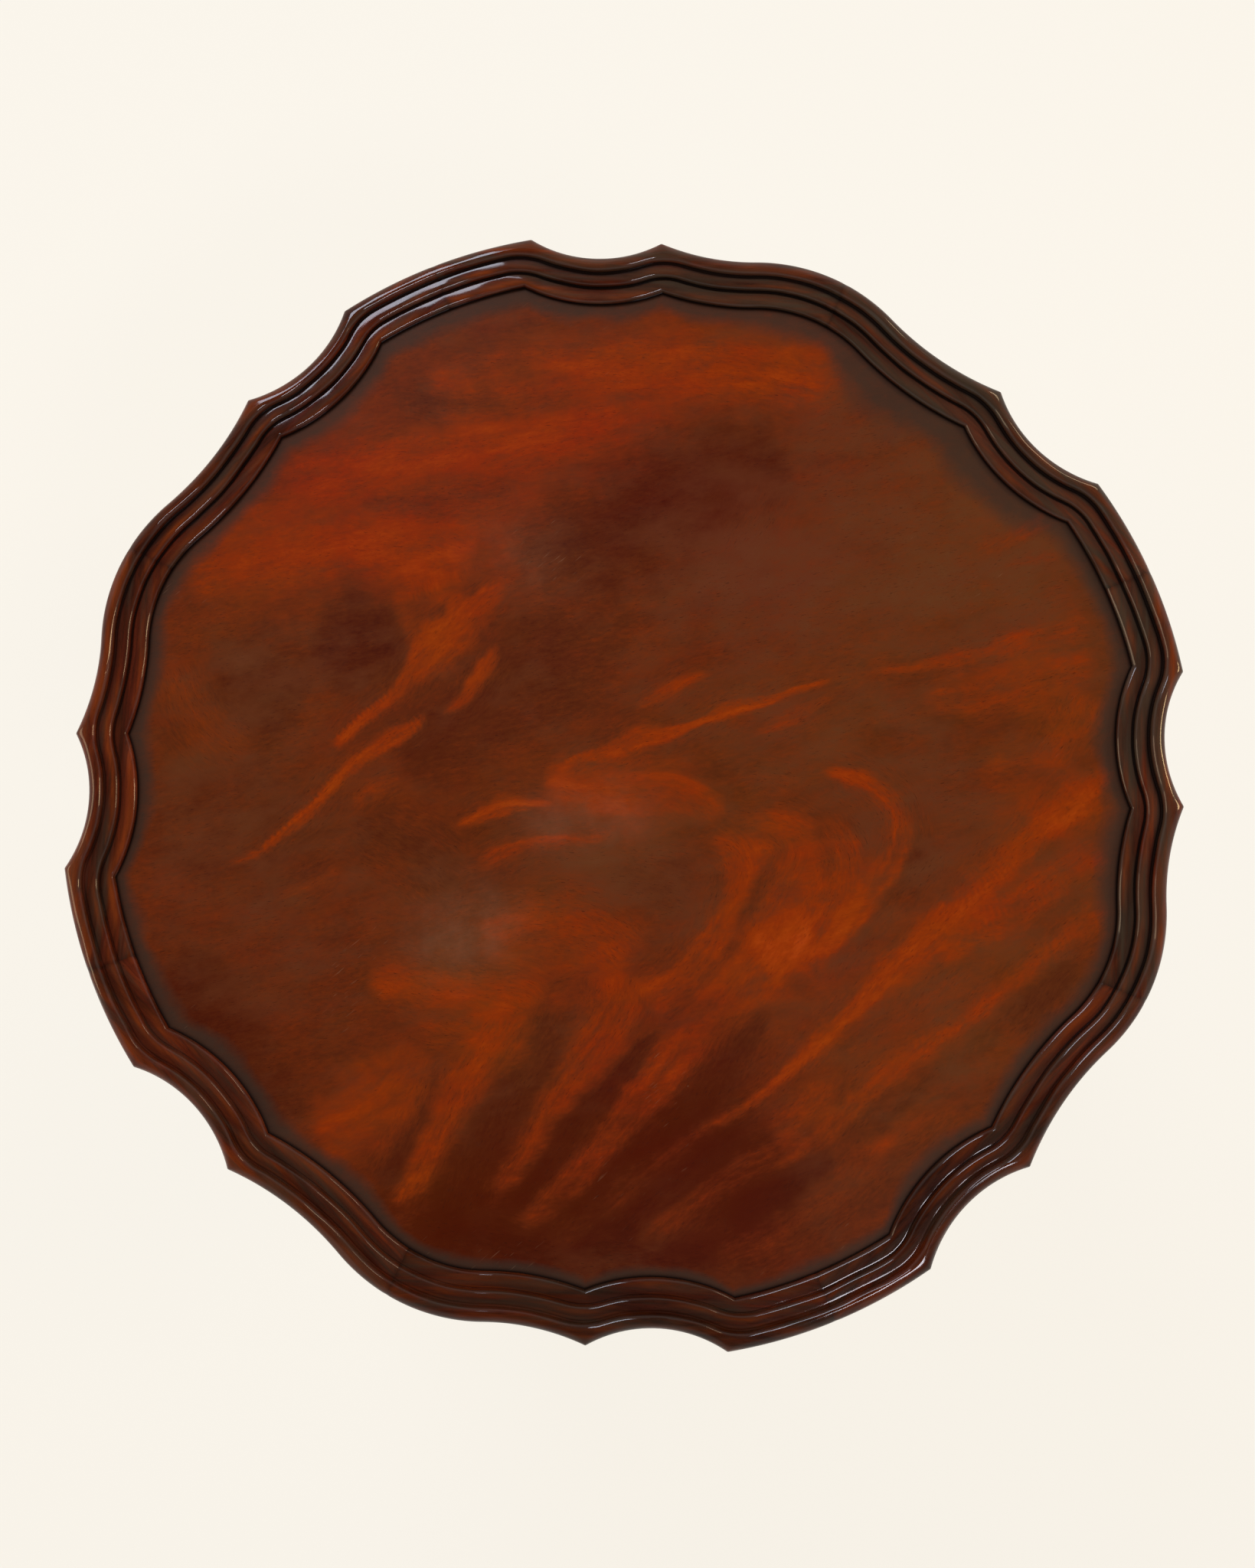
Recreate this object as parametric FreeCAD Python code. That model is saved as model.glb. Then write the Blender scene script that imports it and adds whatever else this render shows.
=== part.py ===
import FreeCAD, Part
import math
import os

# Two-tier side table with piecrust tops, in millimetres.
# Origin on the floor under the column's axis, +Z up, +X through the middle of one short lobe of the tiers.

V = FreeCAD.Vector
UP = V(0, 0, 1)
ORIGIN = V(0, 0, 0)

# ---- heights ----
table_height = 720.0            # floor to the crest of the upper tier's rim
lower_field_height = 400.0      # floor to the field of the lower tier

# ---- outline of a tier: one quarter, repeated four times ----
tier_radius = 305.3             # axis to the crown of a short lobe
scoop_foot_angle = 10.6         # where the short lobe ends in its first scoop
scoop_foot_drop = 1.8           # and how far inside the tier radius that corner lies
ogee_start_angle = 24.6         # where the first scoop meets the long lobe
ogee_start_drop = 9.6
ogee_end_angle = 65.4           # where the long lobe meets the second scoop
ogee_end_drop = 6.4
scoop_head_angle = 79.2         # where the second scoop meets the next short lobe
scoop_head_drop = -0.3
short_lobe_rise = 6.1           # bulge of the short lobe over the line between its corners
first_scoop_depth = 9.4
second_scoop_depth = 10.1
crown_angle = 47.8              # the long lobe's crown leans to one side
crown_drop = 4.8
crown_arc_radius = 102.0
first_flank_radius = 166.0      # hollow flank before the crown
second_flank_radius = 130.0     # hollow flank after it

# ---- rim moulding, measured inwards from the outline ----
bead_width = 8.5                # outer bead
step_width = 7.5                # middle terrace
shelf_width = 8.5               # inner terrace, next to the field
step_rise = 3.5                 # height of each terrace over the one inside it
cutter_radius = 11.0            # rounds the inner corners of the two upper terraces
bead_round = 4.0                # round-over along the rim's crest
base_round = 3.0                # round-over along the rim's foot
round_facet_count = 3           # flats that make up each round-over
rim_length_count = 8            # lengths of moulding in one rim

# ---- panel ----
panel_inset = 13.0              # edge of core and back inside the outline, under the moulding's lip
core_thickness = 12.4
veneer_thickness = 0.8

# ---- hubs, pins and washers ----
hub_radius = 82.0
hub_thickness = 24.0
hub_edge_round = 8.0            # quarter round along the hub's lower edge
hub_fillet = 3.0                # flat between the quarter round and the hollow above it
hub_top_band = 5.0              # upright band along the hub's upper edge
running_clearance = 0.1         # on the radius, between a turning bore and its pin
overcut = 1.0                   # how far a cutting shape runs past the face that it opens
lift_clearance = 0.3            # play along the axis over a turning hub
lower_pin_radius = 19.0
upper_pin_radius = 16.0
thrust_washer_thickness = 1.5
thrust_washer_width = 14.0
thrust_washer_edge = 4.0        # bare wood left outside a thrust washer
pin_socket_depth = 42.0         # how far the pillar's pin reaches into the column
counterbore_depth = 9.0
counterbore_radius = 24.0
retaining_washer_radius = 20.0
retaining_washer_thickness = 1.5
retaining_head_radius = 6.0
retaining_head_flat = 3.0       # radius of the flat on top of the round head
retaining_head_height = 3.4
retaining_head_bulge = 1.0
retaining_shank_radius = 2.6
retaining_screw_length = 32.0

# ---- wood screws ----
screw_head_radius = 4.2
screw_head_depth = 3.0
screw_shank_radius = 2.1
screw_slot_width = 0.9
screw_slot_depth = 1.0
screw_fit = 0.05                # on the radius, between a screw and its hole
hub_screw_count = 6
hub_screw_circle = 56.0
hub_screw_bite = 9.0            # how far a hub screw goes into the panel
spider_screw_bite = 15.0        # how far a spider screw goes into the wood

# ---- pillar ----
pillar_bottom = 108.0
pillar_radius = 34.0
leg_block_height = 90.0         # plain cylinder that takes the legs
pillar_chamfer = 3.0
collar_radius = 41.0
collar_height = 12.0
collar_bulge = 3.5
vase_foot_radius = 26.0
vase_foot_height = 9.0
vase_foot_hollow = 2.0
vase_bulge = 13.0
vase_shoulder_radius = 29.0
taper_hollow = 3.0
pillar_neck_radius = 19.0
neck_bead_height = 9.0
neck_bead_bulge = 4.5
pillar_flare_height = 21.0
pillar_flare_hollow = 6.0
pillar_vase_share = 0.52        # of the room between collar and flare, the neck has what is left
pillar_taper_share = 0.39
seat_height = 8.0               # upright edge of the flared seats of pillar and column
seat_fillet = 2.0
seat_bulge = 1.5

# ---- column between the tiers ----
column_base_radius = 40.0
column_base_height = 10.0
column_base_bulge = 3.0
column_foot_radius = 24.0
column_foot_height = 16.0
column_foot_hollow = 4.0
column_vase_bulge = 11.0
column_shoulder_radius = 26.0
column_taper_hollow = 4.0
column_neck_radius = 16.0
column_flare_height = 20.0
column_flare_hollow = 5.0
column_vase_share = 0.29        # of the room between base and flare
column_taper_share = 0.28

# ---- cabriole legs ----
leg_directions = {"front_leg": -90.0, "right_leg": 30.0, "left_leg": 150.0}
foot_reach = 252.0              # axis to the middle of a foot
foot_pad_radius = 20.0
foot_pad_height = 5.0
foot_radius = 26.0
foot_widest_height = 12.0
foot_lower_bulge = 1.2
foot_height = 26.0
foot_top_radius = 13.0
foot_upper_bulge = 3.6
leg_squareness = 2.7            # 2 is an ellipse, more is squarer
leg_top_margin = 2.0            # pillar block left above a leg
leg_root_width = 37.0
leg_ankle_width = 24.0
leg_ankle_depth = 19.0
ankle_height = 19.0             # centre of the leg where it enters the foot
spider_seat_depth = 4.0         # wood cut from the leg's underside to seat the spider plate
dovetail_height = 72.0
dovetail_length = 13.0
dovetail_neck_width = 12.0
dovetail_head_width = 18.0
dovetail_fit = 0.1
# stations along a leg, each a share: way out to the foot, way down, depth and width over the ankle's
leg_stations = [
    (-0.06, 0.000, 1.00, 1.00),
    (0.10, 0.010, 0.97, 1.00),
    (0.26, 0.065, 0.76, 0.92),
    (0.42, 0.200, 0.50, 0.70),
    (0.57, 0.400, 0.30, 0.45),
    (0.71, 0.625, 0.16, 0.20),
    (0.84, 0.835, 0.06, 0.00),
    (0.97, 1.000, 0.00, 0.08),
]

# ---- iron spider plate ----
spider_thickness = 3.0
spider_hub_radius = 24.0
spider_arm_length = 80.0
spider_arm_width = 18.0
spider_screw_radii = [52.0, 70.0]

# ---- levels that follow ----
rim_rise = 3 * step_rise
field_inset = bead_width + step_width + shelf_width
panel_thickness = core_thickness + 2 * veneer_thickness
upper_field_height = table_height - rim_rise
pillar_seat = lower_field_height - panel_thickness - hub_thickness - thrust_washer_thickness
column_bottom = lower_field_height + lift_clearance
column_seat = upper_field_height - panel_thickness - hub_thickness - thrust_washer_thickness
pillar_pin_top = column_bottom + pin_socket_depth
upper_hub_bottom = column_seat + thrust_washer_thickness
upper_ledge = upper_hub_bottom + hub_thickness - counterbore_depth
upper_pin_top = upper_ledge + lift_clearance
leg_root_depth = leg_block_height + spider_seat_depth - leg_top_margin
knee_height = pillar_bottom - spider_seat_depth + leg_root_depth / 2
quarter_bulge = 1 - math.sqrt(0.5)      # bulge of a quarter round over its chord, for a radius of 1


def polar(radius, degrees, z=0.0):
    angle = math.radians(degrees)
    return V(radius * math.cos(angle), radius * math.sin(angle), z)


def turned_by(point, degrees):
    return FreeCAD.Rotation(UP, degrees).multVec(point)


def circle_over_chord(start, end, rise):
    """Centre and radius of the arc from start to end that rises over their chord, outwards when positive."""
    chord = end - start
    middle = (start + end) * 0.5
    outward = V(chord.y, -chord.x, 0).normalize()
    if outward.dot(middle) < 0:
        outward = -outward
    radius = (chord.Length ** 2 / 4 + rise ** 2) / (2 * abs(rise))
    centre = middle + outward * (rise - math.copysign(radius, rise))
    return centre, radius


def crossing(centre_a, radius_a, centre_b, radius_b, near):
    """The crossing of two circles that lies nearest to a point, or where they touch."""
    line = centre_b - centre_a
    along = (radius_a ** 2 - radius_b ** 2 + line.Length ** 2) / (2 * line.Length)
    across = math.sqrt(max(radius_a ** 2 - along ** 2, 0.0))
    direction = V(line.x, line.y, 0).normalize()
    side = V(-direction.y, direction.x, 0)
    foot = centre_a + direction * along
    choices = [foot + side * across, foot - side * across]
    return min(choices, key=lambda point: (point - near).Length)


def quarter_arcs():
    """The six arcs of a quarter: centre, radius, +1 bulging or -1 hollow, and whether it starts at a cusp."""
    before = polar(tier_radius - scoop_head_drop, scoop_head_angle - 90)
    foot = polar(tier_radius - scoop_foot_drop, scoop_foot_angle)
    ogee_start = polar(tier_radius - ogee_start_drop, ogee_start_angle)
    ogee_end = polar(tier_radius - ogee_end_drop, ogee_end_angle)
    head = polar(tier_radius - scoop_head_drop, scoop_head_angle)
    short_centre, short_radius = circle_over_chord(before, foot, short_lobe_rise)
    first_centre, first_radius = circle_over_chord(foot, ogee_start, -first_scoop_depth)
    second_centre, second_radius = circle_over_chord(ogee_end, head, -second_scoop_depth)
    crown_centre = polar(tier_radius - crown_drop - crown_arc_radius, crown_angle)
    far = polar(2 * tier_radius, crown_angle)
    first_flank = crossing(ogee_start, first_flank_radius, crown_centre,
                           crown_arc_radius + first_flank_radius, far)
    second_flank = crossing(ogee_end, second_flank_radius, crown_centre,
                            crown_arc_radius + second_flank_radius, far)
    return [
        (short_centre, short_radius, 1, True),
        (first_centre, first_radius, -1, True),
        (first_flank, first_flank_radius, -1, True),
        (crown_centre, crown_arc_radius, 1, False),
        (second_flank, second_flank_radius, -1, False),
        (second_centre, second_radius, -1, True),
    ]


def outline_arcs():
    """All arcs of the outline, going round once anticlockwise."""
    arcs = []
    for quarter in range(4):
        for centre, radius, sense, cusp in quarter_arcs():
            arcs.append((turned_by(centre, 90 * quarter), radius, sense, cusp))
    return arcs


def outline_corners(arcs):
    """The point where each arc starts, on the outline itself."""
    corners = []
    for index, arc in enumerate(arcs):
        quarter, place = divmod(index, 6)
        guess = [scoop_head_angle - 90, scoop_foot_angle, ogee_start_angle, crown_angle, crown_angle,
                 ogee_end_angle][place]
        before = arcs[index - 1]
        near = polar(tier_radius, guess + 90 * quarter)
        corners.append(crossing(before[0], before[1], arc[0], arc[1], near))
    return corners


def towards(centre, point, distance):
    return centre + (point - centre).normalize() * distance


def tier_wire(inset, z, corner_radius=0.0):
    """The outline moved inwards by inset, at height z, its cusps rounded where a corner radius is given."""
    arcs = outline_arcs()
    outer = outline_corners(arcs)
    starts = []
    ends = []
    rounds = []
    for index, arc in enumerate(arcs):
        before = arcs[index - 1]
        reach = arc[1] - arc[2] * inset
        reach_before = before[1] - before[2] * inset
        corner = crossing(before[0], reach_before, arc[0], reach, outer[index])
        if arc[3] and corner_radius > 0:
            deep = inset + corner_radius
            pivot = crossing(before[0], before[1] - before[2] * deep, arc[0], arc[1] - arc[2] * deep, corner)
            ends.append(towards(before[0], pivot, reach_before))
            starts.append(towards(arc[0], pivot, reach))
            rounds.append(towards(pivot, corner, corner_radius))
        else:
            ends.append(corner)
            starts.append(corner)
            rounds.append(None)
    lift = V(0, 0, z)
    edges = []
    for index, arc in enumerate(arcs):
        following = (index + 1) % len(arcs)
        start = starts[index]
        end = ends[following]
        middle = towards(arc[0], (start + end) * 0.5, arc[1] - arc[2] * inset)
        edges.append(Part.Arc(start + lift, middle + lift, end + lift).toShape())
        if rounds[following] is not None:
            corner_arc = Part.Arc(end + lift, rounds[following] + lift, starts[following] + lift)
            edges.append(corner_arc.toShape())
    return Part.Wire(edges)


def tier_prism(inset, bottom, top, corner_radius=0.0):
    face = Part.Face(tier_wire(inset, bottom, corner_radius))
    return face.extrude(V(0, 0, top - bottom))


def cylinder(radius, bottom, top, centre=ORIGIN):
    return Part.makeCylinder(radius, top - bottom, V(centre.x, centre.y, bottom), UP)


def turned(profile):
    """A solid turned about the Z axis. The profile lists radius, height and bulge of the line to there."""
    edges = []
    points = [V(radius, 0, z) for radius, z, bulge in profile]
    for index in range(1, len(profile)):
        start = points[index - 1]
        end = points[index]
        bulge = profile[index][2]
        if abs(bulge) > 0:
            run = end - start
            outward = V(run.z, 0, -run.x).normalize()
            middle = (start + end) * 0.5 + outward * bulge
            edges.append(Part.Arc(start, middle, end).toShape())
        else:
            edges.append(Part.makeLine(start, end))
    edges.append(Part.makeLine(points[-1], points[0]))
    face = Part.Face(Part.Wire(edges))
    return face.revolve(ORIGIN, UP, 360)


def wood_screw(length, spread=0.0):
    """A countersunk screw, its head's face at the origin, pointing up. spread widens it to make its hole."""
    head = screw_head_radius + spread
    shank = screw_shank_radius + spread
    point_start = length - 2 * screw_shank_radius
    profile = [(0, 0, 0), (head, 0, 0), (shank, screw_head_depth, 0), (shank, point_start, 0),
               (0, length + spread, 0)]
    screw = turned(profile)
    if spread > 0:
        return screw
    slot = Part.makeBox(2 * head, screw_slot_width, screw_slot_depth, V(-head, -screw_slot_width / 2, 0))
    return screw.cut(slot)


def placed(shape, position, degrees=0.0):
    copy = shape.copy()
    copy.Placement = FreeCAD.Placement(position, FreeCAD.Rotation(UP, degrees))
    return copy


# ---------------------------------------------------------------- tiers

def round_over(radius):
    """Inset and drop of each corner of a faceted quarter round, from the upright face to the flat one."""
    turns = [math.pi / 2 * facet / round_facet_count for facet in range(round_facet_count + 1)]
    return [(radius * (1 - math.cos(turn)), radius * (1 - math.sin(turn))) for turn in turns]


def rim_ring(field):
    """The whole moulded rim before it is cut into lengths: stepped, with a lip over the core's edge."""
    foot = field - panel_thickness
    crest = field + rim_rise
    core_top = field - veneer_thickness
    wires = [tier_wire(inset, foot + drop) for inset, drop in reversed(round_over(base_round))]
    wires += [tier_wire(inset, crest - drop) for inset, drop in round_over(bead_round)]
    ring = Part.makeLoft(wires, True, True)
    step_inset = bead_width + step_width
    ring = ring.cut(tier_prism(bead_width, field + 2 * step_rise, crest + overcut, cutter_radius))
    ring = ring.cut(tier_prism(step_inset, field + step_rise, crest, cutter_radius))
    ring = ring.cut(tier_prism(field_inset, core_top, crest))
    return ring.cut(tier_prism(panel_inset, foot - overcut, core_top))


def rim_segments(field):
    """The rim cut into equal lengths, each joint on a ray through the middle of a lobe."""
    ring = rim_ring(field)
    turn = 360.0 / rim_length_count
    reach = 2 * tier_radius
    segments = []
    for index in range(rim_length_count):
        foot = field - panel_thickness - overcut
        first = polar(reach, turn * index, foot)
        last = polar(reach, turn * (index + 1), foot)
        corners = [V(0, 0, foot), first, last, V(0, 0, foot)]
        height = panel_thickness + rim_rise + 2 * overcut
        wedge = Part.Face(Part.makePolygon(corners)).extrude(V(0, 0, height))
        segments.append(ring.common(wedge))
    return segments


def hub_screw_places(hub_bottom):
    """Positions of the screws that hold a hub up to its panel."""
    turn = 360.0 / hub_screw_count
    return [polar(hub_screw_circle, turn * (index + 0.5), hub_bottom) for index in range(hub_screw_count)]


def hub_screws(hub_bottom, spread=0.0):
    screw = wood_screw(hub_thickness + hub_screw_bite, spread)
    return [placed(screw, place) for place in hub_screw_places(hub_bottom)]


def hub_block(hub_bottom, bore_radius):
    """A turned disc with a moulded edge, a bore for the pin and holes for its screws."""
    top = hub_bottom + hub_thickness
    fillet_height = hub_bottom + hub_edge_round
    band_height = top - hub_top_band
    hollow = band_height - fillet_height
    round_end = hub_radius - hollow - hub_fillet
    profile = [
        (0, hub_bottom, 0),
        (round_end - hub_edge_round, hub_bottom, 0),
        (round_end, fillet_height, hub_edge_round * quarter_bulge),
        (hub_radius - hollow, fillet_height, 0),
        (hub_radius, band_height, -hollow * quarter_bulge),
        (hub_radius, top, 0),
        (0, top, 0),
    ]
    hub = turned(profile)
    hub = hub.cut(cylinder(bore_radius, hub_bottom - overcut, top + overcut))
    for hole in hub_screws(hub_bottom, screw_fit):
        hub = hub.cut(hole)
    return hub


def panel_layer(inset, bottom, top, hub_bottom, bore_radius):
    """One layer of a tier's panel, bored for the pin where it passes and drilled for the hub's screws."""
    layer = tier_prism(inset, bottom, top)
    if bore_radius > 0:
        layer = layer.cut(cylinder(bore_radius, bottom - overcut, top + overcut))
    for hole in hub_screws(hub_bottom, screw_fit):
        layer = layer.cut(hole)
    return layer


def tier_parts(name, field, bore_radius, bored_through):
    """All pieces of one tier, by node name."""
    under = field - panel_thickness
    hub_bottom = under - hub_thickness
    panel_bore = bore_radius if bored_through else 0.0
    back_top = under + veneer_thickness
    core_top = back_top + core_thickness
    parts = {
        name + "_back_veneer": panel_layer(panel_inset, under, back_top, hub_bottom, panel_bore),
        name + "_core": panel_layer(panel_inset, back_top, core_top, hub_bottom, panel_bore),
        name + "_face_veneer": panel_layer(field_inset, core_top, field, hub_bottom, panel_bore),
        name + "_hub": hub_block(hub_bottom, bore_radius),
        name + "_hub_screws": Part.makeCompound(hub_screws(hub_bottom)),
    }
    for number, segment in enumerate(rim_segments(field), start=1):
        parts[name + "_rim_" + str(number)] = segment
    return parts


# ---------------------------------------------------------------- base

def dovetail(direction, fit=0.0):
    """The tongue on a leg's end, or its socket where a fit is added, reaching into the pillar from below."""
    inner = pillar_radius - dovetail_length - fit
    outer = pillar_radius + pillar_chamfer
    neck = dovetail_neck_width / 2 + fit
    head = dovetail_head_width / 2 + fit
    plan = [V(inner, -head, pillar_bottom), V(outer, -neck, pillar_bottom), V(outer, neck, pillar_bottom),
            V(inner, head, pillar_bottom), V(inner, -head, pillar_bottom)]
    tongue = Part.Face(Part.makePolygon(plan)).extrude(V(0, 0, dovetail_height + fit))
    return placed(tongue, ORIGIN, direction)


def leg_section(centre, tangent, depth, width):
    """A closed rounded outline square to the leg's run."""
    upward = V(-tangent.z, 0, tangent.x)
    power = 2.0 / leg_squareness
    points = []
    for step in range(24):
        angle = 2 * math.pi * step / 24
        rise = math.copysign(abs(math.cos(angle)) ** power, math.cos(angle)) * depth / 2
        side = math.copysign(abs(math.sin(angle)) ** power, math.sin(angle)) * width / 2
        points.append(centre + upward * rise + V(0, side, 0))
    curve = Part.BSplineCurve()
    curve.interpolate(points, True)
    return Part.Wire([curve.toShape()])


def leg_body():
    """A cabriole leg along +X: a loft through its stations, standing on a turned pad foot."""
    reach = foot_reach - pillar_radius
    fall = knee_height - ankle_height
    centres = [V(pillar_radius + station[0] * reach, 0, knee_height - station[1] * fall)
               for station in leg_stations]
    wires = []
    for index, station in enumerate(leg_stations):
        before = centres[max(index - 1, 0)]
        after = centres[min(index + 1, len(centres) - 1)]
        depth = leg_ankle_depth + station[2] * (leg_root_depth - leg_ankle_depth)
        width = leg_ankle_width + station[3] * (leg_root_width - leg_ankle_width)
        wires.append(leg_section(centres[index], (after - before).normalize(), depth, width))
    shank = Part.makeLoft(wires, True, False)
    foot = turned([
        (0, 0, 0),
        (foot_pad_radius, 0, 0),
        (foot_pad_radius, foot_pad_height, 0),
        (foot_radius, foot_widest_height, foot_lower_bulge),
        (foot_top_radius, foot_height, foot_upper_bulge),
        (0, foot_height, 0),
    ])
    return shank.fuse(placed(foot, V(foot_reach, 0, 0))).removeSplitter()


def leg(direction):
    """A leg coped to the pillar, with its dovetail, its flat for the spider plate and its pilot holes."""
    body = leg_body()
    body = body.cut(cylinder(pillar_radius, 0, pillar_bottom + 2 * leg_block_height))
    flat = Part.makeBox(spider_arm_length + dovetail_fit, 4 * pillar_radius, pillar_bottom,
                        V(0, -2 * pillar_radius, 0))
    body = body.cut(flat)
    tongue = dovetail(0.0)
    body = body.fuse(tongue).removeSplitter()
    for radius in spider_screw_radii:
        body = body.cut(spider_screw(radius, screw_fit))
    return placed(body, ORIGIN, direction)


def legs():
    return {name: leg(direction) for name, direction in leg_directions.items()}


def spider_screw(radius, spread=0.0):
    """A screw of the spider plate on the arm along +X, at a distance from the axis."""
    return placed(wood_screw(spider_thickness + spider_screw_bite, spread),
                  V(radius, 0, pillar_bottom - spider_thickness))


def spider_plate():
    """Iron plate with three round-ended arms that holds the legs up into the pillar."""
    bottom = pillar_bottom - spider_thickness
    plate = cylinder(spider_hub_radius, bottom, pillar_bottom)
    arm_end = spider_arm_length - spider_arm_width / 2
    arm = Part.makeBox(arm_end, spider_arm_width, spider_thickness, V(0, -spider_arm_width / 2, bottom))
    arm = arm.fuse(cylinder(spider_arm_width / 2, bottom, pillar_bottom, V(arm_end, 0, 0)))
    for radius in spider_screw_radii:
        arm = arm.cut(spider_screw(radius, screw_fit))
    for direction in leg_directions.values():
        plate = plate.fuse(placed(arm, ORIGIN, direction))
    plate = plate.cut(spider_screw(0.0, screw_fit))
    return plate.removeSplitter()


def spider_screws():
    screws = [spider_screw(0.0)]
    for direction in leg_directions.values():
        for radius in spider_screw_radii:
            screws.append(placed(wood_screw(spider_thickness + spider_screw_bite),
                                 polar(radius, direction, pillar_bottom - spider_thickness), direction))
    return Part.makeCompound(screws)


def vase_and_neck(foot, flare_start, vase_share, bulge, shoulder_radius, taper_share, hollow, neck_radius):
    """The middle of a turned profile: vase, hollow taper, bead and neck, in the room up to the flare."""
    room = flare_start - foot - neck_bead_height
    vase_end = foot + room * vase_share
    taper_end = vase_end + room * taper_share
    return [
        (shoulder_radius, vase_end, bulge),
        (neck_radius, taper_end, -hollow),
        (neck_radius, taper_end + neck_bead_height, neck_bead_bulge),
        (neck_radius, flare_start, 0),
    ]


def flared_seat(flare_hollow, pin_radius, seat, pin_top):
    """The end of a turned profile: hollow flare, moulded seat and the pin that stands on it."""
    edge = pin_radius + thrust_washer_width + thrust_washer_edge
    flare_end = seat - seat_height
    return [
        (edge - seat_fillet, flare_end, -flare_hollow),
        (edge, flare_end, 0),
        (edge, seat, seat_bulge),
        (pin_radius, seat, 0),
        (pin_radius, pin_top, 0),
        (0, pin_top, 0),
    ]


def pedestal():
    """Turned pillar: leg block, collar, vase, tapering neck, flared seat and the pin for the column."""
    block_top = pillar_bottom + leg_block_height
    collar_edge = collar_radius - collar_bulge
    collar_top = block_top + collar_height
    vase_start = collar_top + vase_foot_height
    flare_start = pillar_seat - seat_height - pillar_flare_height
    profile = [
        (0, pillar_bottom, 0),
        (pillar_radius - pillar_chamfer, pillar_bottom, 0),
        (pillar_radius, pillar_bottom + pillar_chamfer, 0),
        (pillar_radius, block_top, 0),
        (collar_edge, block_top, 0),
        (collar_edge, collar_top, collar_bulge),
        (pillar_radius, collar_top, 0),
        (vase_foot_radius, vase_start, -vase_foot_hollow),
    ]
    profile += vase_and_neck(vase_start, flare_start, pillar_vase_share, vase_bulge, vase_shoulder_radius,
                             pillar_taper_share, taper_hollow, pillar_neck_radius)
    profile += flared_seat(pillar_flare_hollow, lower_pin_radius, pillar_seat, pillar_pin_top)
    pillar = turned(profile)
    for direction in leg_directions.values():
        pillar = pillar.cut(dovetail(direction, dovetail_fit))
    return pillar.cut(spider_screw(0.0, screw_fit))


def thrust_washer(pin_radius, seat):
    """Brass ring between a shoulder and the hub that turns on it."""
    top = seat + thrust_washer_thickness
    ring = cylinder(pin_radius + thrust_washer_width, seat, top)
    return ring.cut(cylinder(pin_radius + running_clearance, seat - overcut, top + overcut))


def upper_column():
    """Turned column with a socket for the pillar's pin below and the upper tier's pin above."""
    base_top = column_bottom + column_base_height
    foot_top = base_top + column_foot_height
    flare_start = column_seat - seat_height - column_flare_height
    profile = [
        (0, column_bottom, 0),
        (column_base_radius, column_bottom, 0),
        (column_base_radius, base_top, column_base_bulge),
        (column_foot_radius, foot_top, -column_foot_hollow),
    ]
    profile += vase_and_neck(foot_top, flare_start, column_vase_share, column_vase_bulge,
                             column_shoulder_radius, column_taper_share, column_taper_hollow,
                             column_neck_radius)
    profile += flared_seat(column_flare_hollow, upper_pin_radius, column_seat, upper_pin_top)
    column = turned(profile)
    column = column.cut(cylinder(lower_pin_radius, column_bottom - overcut, pillar_pin_top))
    return column.cut(retaining_screw_body(screw_fit))


def retaining_washer():
    """Steel washer screwed on top of the upper pin, over the hub's ledge."""
    top = upper_pin_top + retaining_washer_thickness
    washer = cylinder(retaining_washer_radius, upper_pin_top, top)
    return washer.cut(cylinder(retaining_shank_radius + screw_fit, upper_pin_top - overcut, top + overcut))


def retaining_screw_body(spread=0.0):
    """Round-headed screw, point down, through the retaining washer into the pin."""
    seat = upper_pin_top + retaining_washer_thickness
    shank = retaining_shank_radius + spread
    tip = seat - retaining_screw_length
    return turned([
        (0, tip - spread, 0),
        (shank, tip + 2 * retaining_shank_radius, 0),
        (shank, seat, 0),
        (retaining_head_radius, seat, 0),
        (retaining_head_flat, seat + retaining_head_height, retaining_head_bulge),
        (0, seat + retaining_head_height, 0),
    ])


def retaining_screw():
    seat = upper_pin_top + retaining_washer_thickness
    slot = Part.makeBox(2 * retaining_head_radius, screw_slot_width, screw_slot_depth,
                        V(-retaining_head_radius, -screw_slot_width / 2,
                          seat + retaining_head_height - screw_slot_depth))
    return retaining_screw_body().cut(slot)


def base_parts():
    parts = {
        "pedestal": pedestal(),
        "spider_plate": spider_plate(),
        "spider_screws": spider_screws(),
        "lower_thrust_washer": thrust_washer(lower_pin_radius, pillar_seat),
        "upper_column": upper_column(),
        "upper_thrust_washer": thrust_washer(upper_pin_radius, column_seat),
        "retaining_washer": retaining_washer(),
        "retaining_screw": retaining_screw(),
    }
    parts.update(legs())
    return parts


def all_parts():
    parts = base_parts()
    parts.update(tier_parts("lower", lower_field_height, lower_pin_radius + running_clearance, True))
    upper = tier_parts("upper", upper_field_height, upper_pin_radius + running_clearance, False)
    recess = cylinder(counterbore_radius, upper_ledge, upper_field_height - panel_thickness + overcut)
    upper["upper_hub"] = upper["upper_hub"].cut(recess)
    parts.update(upper)
    return parts


os.makedirs("parts", exist_ok=True)
for node, shape in all_parts().items():
    shape.exportStep("parts/" + node + ".step")
    print(node, len(shape.Solids), round(shape.Volume), shape.isValid())
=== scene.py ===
import math
from functools import partial

import bpy
import numpy as np
from mathutils import Matrix, Vector


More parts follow.
